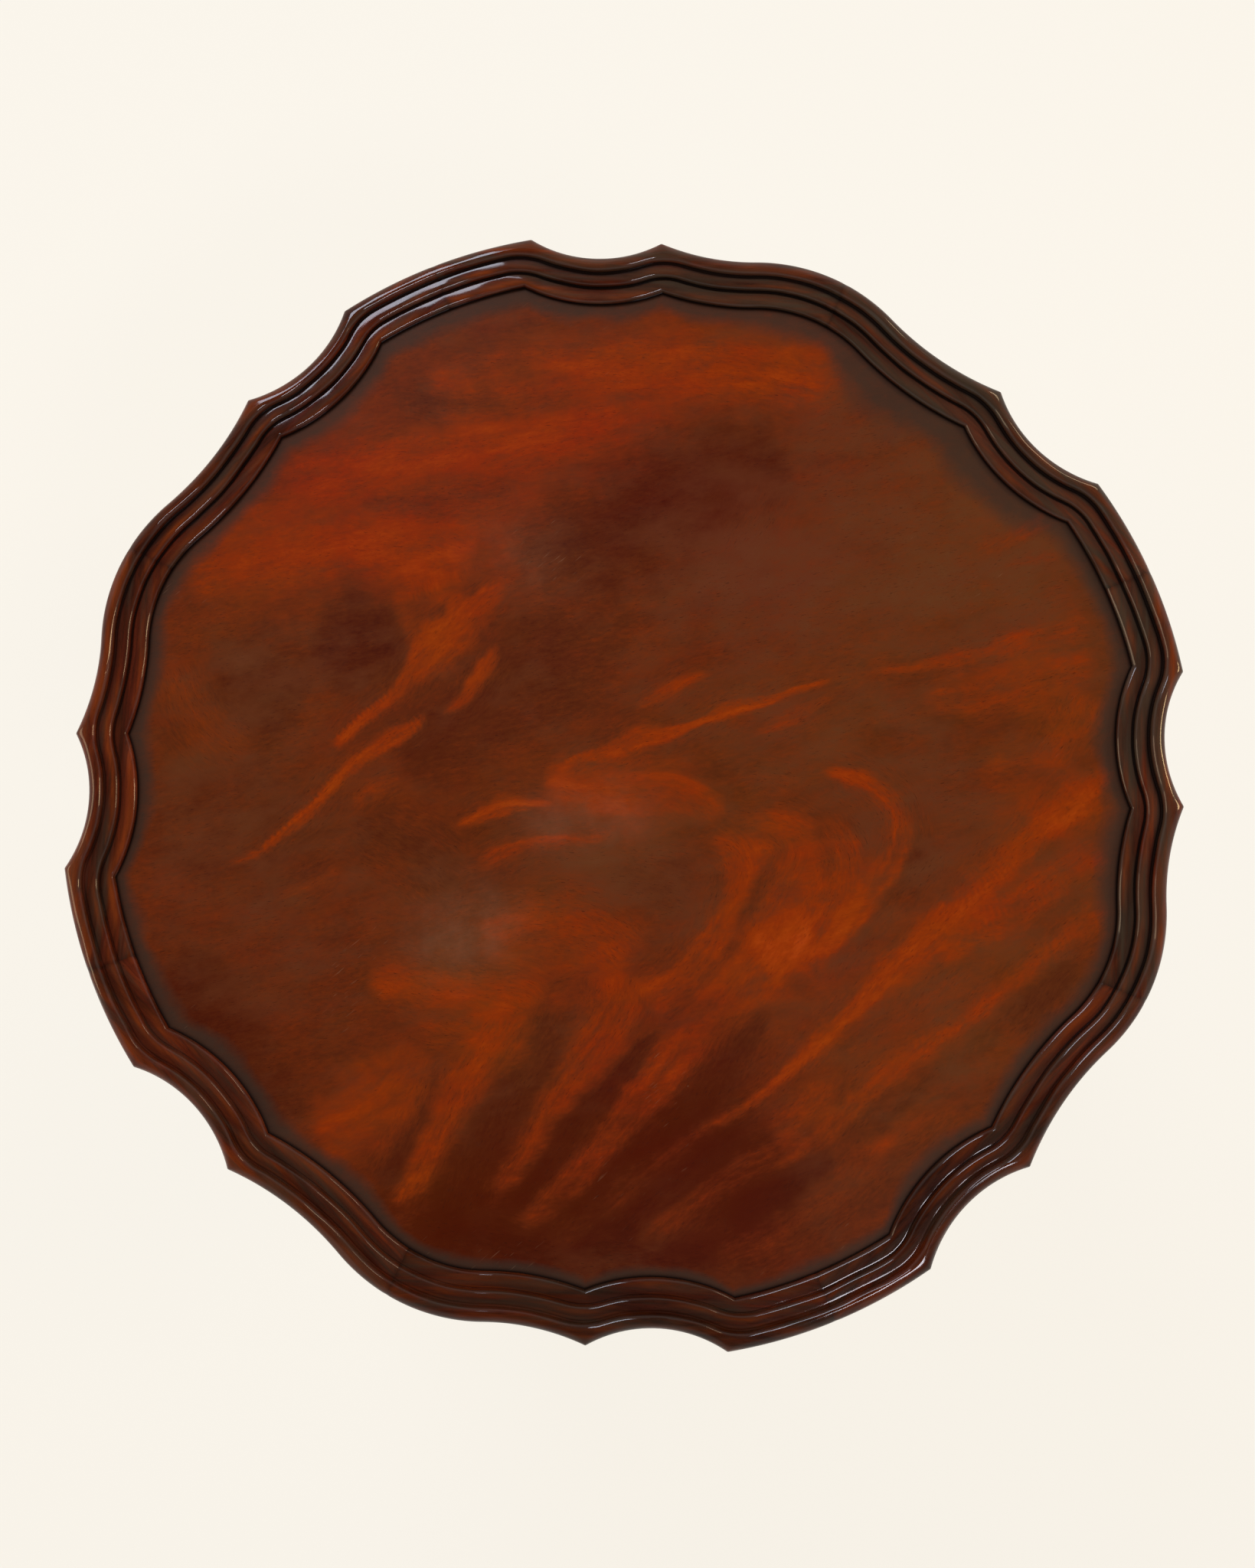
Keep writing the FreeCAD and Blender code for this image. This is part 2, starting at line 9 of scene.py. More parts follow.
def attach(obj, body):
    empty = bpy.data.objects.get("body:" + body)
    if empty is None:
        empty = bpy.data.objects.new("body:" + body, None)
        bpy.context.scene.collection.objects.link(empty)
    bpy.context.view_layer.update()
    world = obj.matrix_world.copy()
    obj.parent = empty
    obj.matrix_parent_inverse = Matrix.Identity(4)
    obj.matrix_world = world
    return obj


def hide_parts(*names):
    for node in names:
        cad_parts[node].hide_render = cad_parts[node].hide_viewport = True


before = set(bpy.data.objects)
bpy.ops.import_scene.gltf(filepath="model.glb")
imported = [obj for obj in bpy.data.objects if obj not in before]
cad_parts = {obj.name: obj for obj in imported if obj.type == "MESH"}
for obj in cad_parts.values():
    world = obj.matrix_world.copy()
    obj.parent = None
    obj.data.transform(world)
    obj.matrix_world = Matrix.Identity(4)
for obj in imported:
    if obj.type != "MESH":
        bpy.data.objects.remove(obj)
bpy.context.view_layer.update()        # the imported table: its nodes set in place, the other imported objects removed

mm = 0.001
viewTurn = 20.7          # degrees from bearings on the table to bearings in the view
print("frame loaded:", len(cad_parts), "nodes")


# meshes

def meshObject(name, points, faces, values, sharpAngle=35):
    # values holds one row of numbers for each point: a single number, or three, by attribute name
    mesh = bpy.data.meshes.new(name)
    mesh.from_pydata(points.tolist(), [], faces)
    for key, rows in values.items():
        kind = "FLOAT" if rows.ndim == 1 else "FLOAT_VECTOR"
        layer = mesh.attributes.new(key, kind, "POINT")
        layer.data.foreach_set("value" if kind == "FLOAT" else "vector", rows.astype(np.float32).ravel())
    mesh.polygons.foreach_set("use_smooth", np.ones(len(mesh.polygons), dtype=bool))
    mesh.set_sharp_from_angle(angle=math.radians(sharpAngle))
    mesh.update()
    piece = bpy.data.objects.new(name, mesh)
    bpy.context.scene.collection.objects.link(piece)
    return piece


def gridFaces(rows, columns, closeRows=False, closeColumns=False):
    # quads between neighbours on a grid: (r+1, c), (r+1, c+1), (r, c+1), (r, c), wrapping round where closed
    r = np.arange(rows if closeRows else rows - 1)[:, None]
    c = np.arange(columns if closeColumns else columns - 1)[None, :]
    nextRow = (r + 1) % rows * columns
    nextColumn = (c + 1) % columns
    quads = np.stack([nextRow + c, nextRow + nextColumn, r * columns + nextColumn, r * columns + c], axis=-1)
    return quads.reshape(-1, 4).tolist()


def latticeNoise(x, y, seed, size=128):
    # random numbers on a square lattice, blended between its corners with 3t^2 - 2t^3
    table = np.random.default_rng(seed).random((size, size))
    column = np.floor(x).astype(int)
    row = np.floor(y).astype(int)
    across = x - column
    up = y - row
    across = across * across * (3 - 2 * across)
    up = up * up * (3 - 2 * up)
    left = column % size
    right = (column + 1) % size
    near, far = [table[left, line % size] * (1 - across) + table[right, line % size] * across
                 for line in (row, row + 1)]
    return near * (1 - up) + far * up


def byBearing(places, bearing):
    # runs straight between the listed bearings, and on from the last to the first
    return np.interp(bearing % 360, *zip(*places), period=360)


# tier outline, in plan as complex numbers, mm

tierShape = {
    "radius": 305.3,          # axis to the crown of a short lobe
    "cusps": [(10.6, 1.8), (24.6, 9.6), (65.4, 6.4), (79.2, -0.3)],     # angle, and drop inside the radius
    "shortLobeRise": 6.1,
    "firstScoopDepth": 9.4,
    "secondScoopDepth": 10.1,
    "crownAngle": 47.8,
    "crownDrop": 4.8,
    "crownArcRadius": 102.0,
    "firstFlankRadius": 166.0,
    "secondFlankRadius": 130.0,
    "fewestSteps": (7, 4),    # round a softened cusp, and along an arc
}


def polar(radius, degrees):
    return radius * np.exp(1j * np.radians(degrees))


def circleOverChord(start, end, rise):
    # radius (c^2/4 + h^2) / 2h for a chord c and a rise h, centre on the line square to the chord's middle
    chord = end - start
    outward = -1j * chord / abs(chord)
    radius = (abs(chord) ** 2 / 4 + rise ** 2) / (2 * abs(rise))
    return (start + end) / 2 + outward * (rise - math.copysign(radius, rise)), radius


def crossing(centreA, radiusA, centreB, radiusB, near):
    # a = (ra^2 - rb^2 + d^2) / 2d along the line of centres, and sqrt(ra^2 - a^2) to either side of it
    line = centreB - centreA
    span = abs(line)
    along = (radiusA ** 2 - radiusB ** 2 + span ** 2) / (2 * span)
    across = np.sqrt(np.maximum(radiusA ** 2 - along ** 2, 0))
    foot = centreA + line / span * along
    left = foot + 1j * line / span * across
    right = foot - 1j * line / span * across
    return np.where(abs(left - near) < abs(right - near), left, right)


def quarterArcs():
    # the seven arcs from one short lobe to the next: centre, radius, and +1 for bulging or -1 for hollow
    shape = tierShape
    cusps = [polar(shape["radius"] - drop, angle) for angle, drop in shape["cusps"]]
    before = cusps[3] * -1j
    shortCentre, shortRadius = circleOverChord(before, cusps[0], shape["shortLobeRise"])
    firstCentre, firstRadius = circleOverChord(cusps[0], cusps[1], -shape["firstScoopDepth"])
    secondCentre, secondRadius = circleOverChord(cusps[2], cusps[3], -shape["secondScoopDepth"])
    crownRadius = shape["crownArcRadius"]
    crown = polar(shape["radius"] - shape["crownDrop"] - crownRadius, shape["crownAngle"])
    far = polar(2 * shape["radius"], shape["crownAngle"])
    flanks = [(crossing(cusp, shape[key], crown, crownRadius + shape[key], far), shape[key], -1)
              for cusp, key in ((cusps[1], "firstFlankRadius"), (cusps[2], "secondFlankRadius"))]
    arcs = [(shortCentre, shortRadius, 1), (firstCentre, firstRadius, -1), flanks[0], (crown, crownRadius, 1),
            flanks[1], (secondCentre, secondRadius, -1), (shortCentre * 1j, shortRadius, 1)]
    return arcs, [cusps[0], cusps[1], None, None, cusps[2], cusps[3]]


def rayCrossing(centre, radius, degrees):
    # the point t*u of a ray on a circle: t = u.c + sqrt((u.c)^2 - |c|^2 + r^2)
    ray = polar(1.0, degrees)
    along = (ray * np.conj(centre)).real
    return ray * (along + np.sqrt(along ** 2 - abs(centre) ** 2 + radius ** 2))


def outlineRows(half, inset, corner, spacing=2.2):
    # each row follows half a quarter of the outline at its own inset, its cusps rounded to its own radius:
    # a run is start turned about its centre by equal shares of the angle between start and end
    arcs, guesses = quarterArcs()
    first = 3 * half
    arcs = arcs[first:first + 4]
    guesses = guesses[first:first + 3]
    reach = [radius - sense * inset for centre, radius, sense in arcs]
    start = rayCrossing(arcs[0][0], reach[0], 45.0 * half)
    runs = []
    for index in range(3):
        (centreA, radiusA, senseA), (centreB, radiusB, senseB) = arcs[index], arcs[index + 1]
        if guesses[index] is None:      # a smooth join: the point lies on the line of centres
            join = centreB + (centreA - centreB) / abs(centreA - centreB) * reach[index + 1]
            leave, enter, pivot = join, join, None
        else:
            cusp = crossing(centreA, radiusA, centreB, radiusB, guesses[index])
            cusp = crossing(centreA, reach[index], centreB, reach[index + 1], cusp)
            deep = inset + corner
            pivot = crossing(centreA, radiusA - senseA * deep, centreB, radiusB - senseB * deep, cusp)
            leave = centreA + (pivot - centreA) / abs(pivot - centreA) * reach[index]
            enter = centreB + (pivot - centreB) / abs(pivot - centreB) * reach[index + 1]
        runs.append((centreA, start, leave))
        if pivot is not None:
            runs.append((pivot[:, None], leave, enter))
        start = enter
    runs.append((arcs[3][0], start, rayCrossing(arcs[3][0], reach[3], 45.0 * (half + 1))))
    cornerSteps, arcSteps = tierShape["fewestSteps"]
    middle = len(inset) // 2
    rows = []
    for place, (centre, start, end) in enumerate(runs):
        rounded = np.ndim(centre) == 2
        count = cornerSteps if rounded else max(arcSteps, int(abs(end[middle] - start[middle]) / spacing))
        turnCentre = centre if rounded else np.full((len(inset), 1), centre)
        turn = np.angle((end[:, None] - turnCentre) / (start[:, None] - turnCentre))
        share = np.linspace(0, 1, count + 1)[None, :]
        if place < len(runs) - 1:
            share = share[:, :-1]
        rows.append(turnCentre + (start[:, None] - turnCentre) * np.exp(1j * turn * share))
    return np.concatenate(rows, axis=1)


def tierLoop(inset, corner, spacing):
    # the whole outline as one closed row: both halves of a quarter, turned four times
    quarter = np.concatenate([outlineRows(half, np.array([inset]), np.array([corner]), spacing)[0, :-1]
                              for half in (0, 1)])
    return np.concatenate([quarter * 1j ** turn for turn in range(4)])


# rim mouldings

rimProfile = {                # insets from the outline and heights over the field, mm
    "foot": -14.0,
    "crest": 10.5,
    "sideTop": 3.0,
    "ridge": 6.0,             # inset of the bead's crest
    "fullness": 0.8,          # under 1 the bead swells out beyond an ellipse
    # recess is 0 on a lip and 1 in a quirk: inset and recess underneath; inset, height and recess up the side
    "under": [(9.0, 0.6), (5.2, 0.7)],
    "toe": (4.2, 3.2, 3.0),   # inset of the rounding between them, its width and height
    "side": [(0.7, -7.5, 0.35), (0.3, -4.0, 0.3), (0.05, -0.5, 0.25)],
    "stepInsets": [8.5, 16.0, 24.5],
    "stepHeights": [7.0, 3.5, 0.0],
    "lipWidths": [3.0, 2.3, 2.5],
    "lipDrops": [3.2, 2.2, 2.2],
    "riserLean": 0.1,
    "quirk": 0.4,             # depth of the groove at the foot of each riser
    "quirkWidths": [2.9, 1.7],
    # share of its width, share of its depth, recess
    "quirkShape": [(0.12, 0.7, 1.0), (0.28, 1.0, 1.0), (0.45, 0.3, 0.85), (0.7, 0.1, 0.6), (1.0, 0.0, 0.35)],
    "scoop": 0.08,            # rise of each terrace from the quirk to its lip
    "veneer": 0.8,
    "panelInset": 13.0,
    "rebate": (19.0, -7.0),   # an inset on the rebate's floor, and a height on its wall
    "fieldCorner": 0.7,       # radius of the crisp cusps at the field and underneath
    # inset and radius of the cusps: crisp at the outer edge and at the field, rounded by the gouge between
    "cuspRadii": [(0, 0.6), (2, 3.0), (6, 20), (8.5, 34), (16, 34), (20, 18), (24.2, 0.7)],
    "jointEase": 0.12,        # edges of a length eased where it meets the next
    "handWaver": (0.7, 0.245),      # mm by which the gouge wandered in plan and in height
    "gougeSwing": [(17, 71), (9, 72)],      # mm of one swing in plan and in height, with its seed
    "sharpAngle": 38,
    "boardStep": (700, 130),  # mm from one length's place in its board to the next one's
    # bearing and brightness of the wood there: painted shade that darkens the bottom of the view
    "shade": [(0, 1.0), (90, 1.0), (150, 1.05), (185, 1.1), (225, 0.8), (265, 0.62), (310, 0.7), (345, 0.95)],
    # bearing and share of the painted shadow and dirt that fill the quirks, less where the risers face the
    # light
    "quirkShadowByBearing": [(0, 1.0), (100, 1.0), (150, 0.85), (200, 0.55), (240, 0.3), (300, 0.3), (335, 0.8)],
    # bearing and share of the grey film on the flats: grime, and a painted sheen
    "film": [(0, 0.5), (45, 0.65), (80, 0.55), (110, 0.3), (140, 0.25), (180, 0.1), (215, 0.3), (260, 0.4),
             (300, 0.25), (335, 0.45)],
}


def rimSection():
    # a closed line of inset, height and recess: the toe is a quarter ellipse, the bead another with
    # sin^fullness for its rise, and each terrace rises a hair from its quirk to a quarter-elliptical lip
    p = rimProfile
    turn = np.linspace(0, math.pi / 2, 9)
    toeInset, toeWidth, toeHeight = p["toe"]
    run = [(inset, p["foot"], recess) for inset, recess in [(p["panelInset"], 0.6)] + p["under"]]
    run += [(toeInset - toeWidth * math.sin(t), p["foot"] + toeHeight * (1 - math.cos(t)), 0.5)
            for t in np.linspace(0, math.pi / 2, 6)]
    run += p["side"]
    top = p["crest"]
    rise = top - p["sideTop"]
    run += [(p["ridge"] * (1 - math.cos(t)), p["sideTop"] + rise * math.sin(t) ** p["fullness"],
             0.25 - 0.2 * t / 1.6) for t in turn]
    for step, (inset, ledge) in enumerate(zip(p["stepInsets"], p["stepHeights"])):
        width = p["lipWidths"][step]
        drop = p["lipDrops"][step]
        start = inset - p["riserLean"] - width
        run += [(start + width * math.sin(t), top - drop * (1 - math.cos(t)), 0.05 + 0.45 * t / 1.6)
                for t in (turn if step else turn[1:])]
        if step < 2:
            wide = p["quirkWidths"][step]
            run += [(inset, ledge + 0.5, 1.0)]
            run += [(inset + along * wide, ledge - depth * p["quirk"], recess)
                    for along, depth, recess in p["quirkShape"]]
            ahead = p["stepInsets"][step + 1] - p["riserLean"] - p["lipWidths"][step + 1]
            run += [((inset + wide) * 0.5 + ahead * 0.5, ledge + 0.55 * p["scoop"], 0.25)]
        top = ledge + p["scoop"]
    floorInset, wallHeight = p["rebate"]
    run += [(inset, 0.6, 0.95), (inset, -p["veneer"], 1.0), (floorInset, -p["veneer"], 1.0),
            (p["panelInset"], -p["veneer"], 1.0), (p["panelInset"], wallHeight, 1.0)]
    return np.array(run)


def mouldRim(name, field, number):
    # the section carried along half a quarter of the outline, then turned to its place; ends are capped
    p = rimProfile
    inset, height, recess = rimSection().T
    crisp = (height < 0.7) & ((inset > 6) | (height < p["foot"] + 0.1))
    corner = np.where(crisp, p["fieldCorner"], np.interp(inset, *zip(*p["cuspRadii"])))
    quarter, half = divmod(number - 1, 2)
    plan = outlineRows(half, inset, corner) * 1j ** quarter
    rows, columns = plan.shape
    # hand-cut waver: the steps wander a little in plan and in height between the outline and the field
    cut = ((inset > 2) & (inset < 24) & (height > 0.5) & (height < 10.2))[:, None]
    wander, dip = [cut * waver * (latticeNoise(plan.real / swing + 50, plan.imag / swing + 50, seed) - 0.5)
                   for waver, (swing, seed) in zip(p["handWaver"], p["gougeSwing"])]
    lift = np.repeat(height[:, None], columns, axis=1) + dip
    plan = plan - wander * plan / abs(plan)
    chord = plan[0, -1] - plan[0, 0]
    chord /= abs(chord)
    # ease both ends towards the section's middle
    middle = plan.mean(axis=0)
    for column in (0, -1):
        pull = middle[column] - plan[:, column]
        plan[:, column] += pull / abs(pull) * p["jointEase"]
    points = np.stack([plan.real, plan.imag, field + lift], axis=-1) * mm
    along = plan * np.conj(chord)
    board = np.stack([along.real + p["boardStep"][0] * number, along.imag + p["boardStep"][1] * number, lift],
                     axis=-1) * mm
    bearing = np.degrees(np.angle(plan)) + flameFigure["sheetTurn"]
    depth = np.repeat(recess[:, None], columns, axis=1)
    # painted shadow in the quirks, by bearing: lighter where the risers face the light
    depth = np.where(depth > 0.4, depth * byBearing(p["quirkShadowByBearing"], bearing), depth)
    tone = 0.9 + 0.02 * ((number * 37) % 11)        # each length was cut from another board
    joint = np.zeros((rows, columns))
    joint[:, 0] = joint[:, -1] = 1.0
    faces = gridFaces(rows, columns, closeRows=True)
    faces.append([row * columns for row in range(rows)])
    faces.append([row * columns + columns - 1 for row in reversed(range(rows))])
    values = {"board": board.reshape(-1, 3), "recess": depth.ravel(), "jointLine": joint.ravel(),
              "film": byBearing(p["film"], bearing).ravel(),
              # each board's own tone, times the painted shade by bearing
              "boardTone": (tone * byBearing(p["shade"], bearing)).ravel()}
    return meshObject(name, points.reshape(-1, 3), faces, values, p["sharpAngle"])


# flame veneer

# the crotch figure in mm about the middle of the sheet; each streak: amount, softness of its edges, feather,
# its line as x, y, half width, and its lean if any, which makes the left edge crisper
flameFigure = {
    "sheetTurn": viewTurn,    # degrees that the sheet is turned on the panel
    "sisterTurn": 64,         # and the sister sheet before it is opened
    "base": 0.43,
    "waver": 3.0,             # mm by which the streaks wander
    "drift": [(42, 1.0, 3), (13, 0.4, 5)],      # mm of one swing, its share of the waver, seed
    # mm along a streak in which its width, its edge, its softness and its threads change
    "swell": 22, "nick": 6, "softSpell": 12, "threadSpell": 38,
    "fade": 12.0,             # mm at each end, or a fifth of a short streak
    "ruling": (22, 12),       # a streak this broad doesn't rule the grain, one narrower by the second does
    "streaks": [
        # broad cloud of flame along the top, and the brighter bands in it
        (0.19, 1.0, 0.2, [(-245, 110, 14), (-205, 130, 30), (-150, 150, 46), (-90, 165, 46), (-30, 195, 40),
            (40, 225, 26), (100, 228, 24), (124, 226, 10)]),
        (0.12, 0.8, 0.5, [(-222, 112, 8), (-190, 118, 14), (-150, 124, 16), (-110, 126, 14),
            (-82, 120, 8)]),
        (0.12, 0.8, 0.6, [(-110, 222, 8), (-60, 226, 14), (0, 228, 16), (60, 226, 16), (112, 216, 10)]),
        (0.12, 0.8, 0.6, [(-190, 164, 6), (-150, 172, 10), (-100, 182, 12), (-40, 192, 12), (0, 200, 8)]),
        (-0.10, 0.8, 0.5, [(-150, 150, 5), (-110, 152, 8), (-60, 158, 7)]),
        (-0.10, 0.8, 0.6, [(-130, 208, 6), (-80, 206, 9), (-20, 214, 7)]),
        (0.16, 0.9, 0.4, [(-110, 124, 17), (-104, 106, 12), (-100, 92, 7)]),
        # dark clouds
        (-0.24, 0.8, 0.2, [(-172, 64, 14), (-145, 74, 24), (-120, 82, 16)]),
        (-0.12, 0.8, 0.3, [(-230, 60, 14), (-200, 52, 24), (-170, 40, 20)]),
        (-0.17, 0.9, 0.2, [(-66, 120, 14), (-30, 128, 30), (12, 144, 42), (56, 160, 38), (92, 172, 22)]),
        (-0.11, 0.9, 0.2, [(-124, 6, 16), (-80, 30, 26), (-44, 64, 34), (-40, 94, 30)]),
        (-0.10, 0.9, 0.4, [(-150, -30, 10), (-112, -45, 14), (-88, -60, 8)]),
        (-0.22, 0.9, 0.3, [(-240, -100, 14), (-212, -150, 24), (-182, -195, 16)]),
        (-0.07, 1.0, 0.2, [(-240, -60, 26), (-215, -10, 34), (-170, -70, 30)]),
        # narrow streaks at the left
        (0.32, 0.4, 0.5, [(-214, -51, 1), (-200, -45, 1.8), (-186, -34, 2.5), (-172, -22, 2.8),
            (-158, -8, 3.5), (-146, 4, 3.5), (-132, 15, 4), (-118, 24, 4), (-110, 34, 1.5)]),
        (0.32, 0.4, 0.5, [(-158, 12, 2), (-148, 24, 3), (-128, 43, 5), (-114, 59, 8), (-98, 75, 12),
            (-84, 89, 9), (-66, 104, 3)], 0.3),
        (0.32, 0.45, 0.5, [(-102, 32, 1.5), (-90, 41, 4), (-80, 54, 5), (-69, 71, 1.5)]),
        (0.14, 0.6, 0.7, [(-148, -20, 2), (-134, -9, 4), (-121, -3, 2)]),
        (0.12, 0.6, 0.7, [(-190, -69, 2), (-170, -62, 3), (-152, -53, 2)]),
        (0.10, 1.0, 0.4, [(-250, 60, 6), (-238, 36, 7), (-222, 18, 9), (-206, 8, 9)]),
        # streaks through the middle
        (0.28, 0.7, 0.6, [(-92, -32, 1.5), (-80, -26, 3), (-66, -19, 6), (-52, -18, 4), (-38, -18, 2)]),
        (0.28, 0.9, 0.5, [(-46, -4, 5), (-24, -8, 14), (4, -10, 18), (24, -10, 17), (40, -16, 10),
            (54, -26, 4)]),
        (0.28, 0.5, 0.7, [(-38, 2, 2), (-22, 8, 3), (-4, 12, 4), (8, 18, 5), (20, 20, 4), (40, 26, 2),
            (56, 33, 4), (66, 36, 4), (84, 42, 2.5), (112, 51, 1.5)], 0.2),
        (0.20, 0.5, 0.7, [(4, 34, 2), (18, 40, 3), (34, 49, 4), (48, 53, 2)]),
        (0.08, 0.8, 0.5, [(56, -6, 2), (70, -4, 3), (95, -8, 2)]),
        (0.20, 0.5, 0.7, [(68, 20, 2), (90, 30, 4), (114, 43, 1.5)]),
        (0.14, 0.7, 0.6, [(130, 54, 1.5), (165, 58, 3), (200, 66, 4), (230, 75, 6), (256, 79, 7)], 0.1),
        (0.16, 0.9, 0.5, [(160, 40, 6), (190, 42, 12), (212, 50, 16), (240, 58, 14), (256, 62, 10)]),
        (0.12, 0.9, 0.5, [(228, 4, 8), (244, 24, 10), (254, 44, 9)]),
        (0.12, 0.9, 0.5, [(190, -5, 16), (225, -10, 26), (252, -35, 18)]),
        (0.14, 0.7, 0.7, [(192, 116, 2), (214, 129, 4), (240, 143, 5)]),
        (0.10, 0.7, 0.7, [(206, 111, 2), (238, 119, 3)]),
        (0.08, 0.9, 0.6, [(212, 88, 6), (248, 96, 10)]),
        (0.08, 0.9, 0.4, [(52, 118, 12), (70, 140, 18), (84, 165, 12)]),
        # the curl: its body, the bright strand at its left, the tip at its right
        (0.20, 0.8, 0.4, [(64, -28, 5), (86, -42, 20), (98, -62, 30), (88, -84, 28), (68, -104, 20)]),
        (0.22, 0.6, 0.4, [(44, -36, 4), (58, -42, 8), (62, -56, 8), (54, -76, 7), (42, -94, 7),
            (26, -112, 8), (8, -124, 8)]),
        (0.14, 0.6, 0.5, [(54, -26, 4), (70, -26, 4), (90, -29, 5), (104, -34, 6)]),
        (-0.10, 0.6, 0.4, [(66, -32, 3), (82, -42, 4), (74, -58, 4), (60, -82, 4), (50, -102, 4)]),
        (0.24, 0.6, 0.5, [(106, -1, 2), (120, -3, 5), (135, -9, 5), (147, -22, 5), (146, -42, 6),
            (134, -62, 6), (118, -84, 6), (98, -104, 6)], 0.3),
        (0.12, 0.7, 0.5, [(108, -24, 4), (121, -44, 6), (118, -66, 7), (104, -88, 8), (88, -106, 8)]),
        (0.22, 0.6, 0.4, [(92, -70, 8), (80, -92, 16), (56, -120, 18), (28, -150, 13), (8, -174, 12),
            (-16, -198, 10), (-36, -220, 9), (-58, -242, 8)], 0.2),
        (-0.08, 0.8, 0.3, [(-12, -58, 8), (18, -60, 12), (38, -64, 8)]),
        (0.22, 0.9, 0.5, [(-78, -52, 3), (-64, -45, 5), (-50, -40, 4), (-34, -38, 4), (-20, -38, 3),
            (-6, -34, 4)]),
        (0.18, 1.0, 0.4, [(-80, -84, 6), (-52, -92, 20), (-20, -98, 24), (2, -112, 16)]),
        (0.10, 0.9, 0.5, [(-82, -83, 3), (-56, -78, 6), (-30, -78, 8), (-8, -84, 8), (8, -96, 7)], 0.2),
        (0.19, 0.6, 0.4, [(0, -108, 12), (-4, -130, 12), (-20, -152, 11), (-36, -174, 10), (-50, -200, 8),
            (-68, -226, 7)]),
        (-0.12, 0.7, 0.3, [(-32, -124, 6), (-42, -146, 12), (-60, -170, 14), (-74, -194, 14),
            (-86, -218, 13), (-96, -242, 9)]),
        (-0.20, 0.5, 0.3, [(20, -138, 2), (4, -154, 4), (-12, -174, 7), (-27, -190, 9), (-42, -208, 7),
            (-62, -230, 7)]),
        # patches at the lower left
        (0.24, 0.7, 0.3, [(-138, -112, 5), (-120, -114, 12), (-100, -118, 10), (-78, -120, 10),
            (-56, -120, 10), (-46, -126, 8)]),
        (0.10, 0.9, 0.3, [(-112, -136, 8), (-90, -138, 12), (-70, -140, 10)]),
        (0.20, 0.9, 0.3, [(-104, -150, 10), (-120, -168, 18), (-140, -182, 18), (-166, -194, 10)]),
        (0.22, 0.6, 0.4, [(-56, -126, 8), (-68, -146, 11), (-84, -166, 10), (-94, -186, 8), (-104, -206, 7),
            (-120, -230, 4)]),
        (-0.12, 0.6, 0.6, [(-100, -160, 3), (-108, -180, 4), (-118, -202, 5), (-130, -220, 5)]),
        # long diagonals at the lower right, light and dark by turns
        (-0.24, 0.9, 0.2, [(-112, -246, 10), (-60, -252, 14), (0, -256, 14), (50, -256, 12)]),
        (-0.10, 1.0, 0.2, [(-100, -236, 16), (-30, -236, 22), (60, -222, 24), (110, -200, 14)]),
        (-0.13, 0.7, 0.25, [(76, -128, 4), (58, -146, 8), (40, -172, 11), (18, -192, 12), (-4, -216, 10),
            (-28, -240, 8)], 0.2),
        (0.17, 0.7, 0.5, [(52, -180, 3), (32, -194, 5), (8, -212, 6), (-18, -234, 6), (-42, -250, 5)]),
        (-0.15, 0.6, 0.3, [(62, -188, 4), (42, -206, 9), (18, -224, 9), (-8, -246, 7)]),
        (-0.16, 0.7, 0.4, [(110, -205, 4), (80, -224, 8), (55, -240, 8)]),
        (-0.08, 0.6, 0.4, [(100, -110, 7), (122, -86, 9), (146, -62, 9), (168, -38, 7)]),
        (0.08, 1.0, 0.3, [(66, -185, 8), (112, -142, 24), (168, -96, 30), (230, -50, 24)]),
        (0.24, 0.6, 0.4, [(46, -188, 2), (75, -168, 3), (100, -146, 4), (120, -127, 6), (150, -99, 7),
            (174, -77, 7), (196, -58, 8), (216, -40, 7), (236, -22, 7), (264, 4, 6)]),
        (0.17, 0.7, 0.5, [(98, -196, 4), (70, -207, 7), (45, -219, 8), (24, -236, 9), (6, -252, 6)]),
        (0.20, 0.6, 0.5, [(76, -214, 3), (104, -191, 5), (130, -167, 5), (150, -152, 5), (172, -136, 5),
            (196, -120, 5), (216, -104, 5), (236, -87, 6), (258, -70, 4)]),
        (0.16, 0.8, 0.5, [(112, -166, 4), (92, -182, 9), (74, -194, 5)]),
        (0.16, 0.7, 0.6, [(165, -102, 5), (200, -80, 9), (226, -62, 8), (256, -42, 7)]),
        (-0.08, 0.7, 0.5, [(108, -152, 3), (150, -120, 4), (190, -88, 5), (216, -70, 4)]),
        (-0.10, 0.7, 0.5, [(132, -190, 4), (168, -165, 9), (206, -135, 9), (240, -100, 7)]),
        (0.10, 0.7, 0.6, [(126, -204, 4), (152, -186, 6), (182, -160, 6), (212, -135, 5)]),
        (0.10, 0.6, 0.5, [(50, -256, 4), (78, -240, 7), (102, -224, 7), (125, -206, 6), (146, -190, 4)]),
    ],
    # brown heartwood without flame, and the red dark of the lower edge: amount, half width, line
    "brown": [
        (0.9, 60, [(80, 110), (150, 120), (220, 110)]),
        (0.6, 60, [(120, 190), (180, 150)]),
        (0.5, 50, [(60, 50), (120, 10), (200, -60)]),
        (0.5, 40, [(110, -90), (170, -130)]),
        (0.4, 50, [(-190, -80), (-220, 0), (-200, 50)]),
        (0.6, 30, [(-20, -50), (20, -60)]),
    ],
    "deepRed": [
        (0.8, 42, [(-110, -240), (-30, -215), (40, -190), (60, -240)]),
        (0.36, 24, [(10, -170), (50, -150)]),
        (0.24, 34, [(0, 150), (60, 170)]),
        (0.24, 24, [(-110, 0), (-70, -30)]),
        (0.24, 30, [(-230, -110), (-190, -160)]),
    ],
    # where the wood is yellower, and redder where negative
    "yellow": [
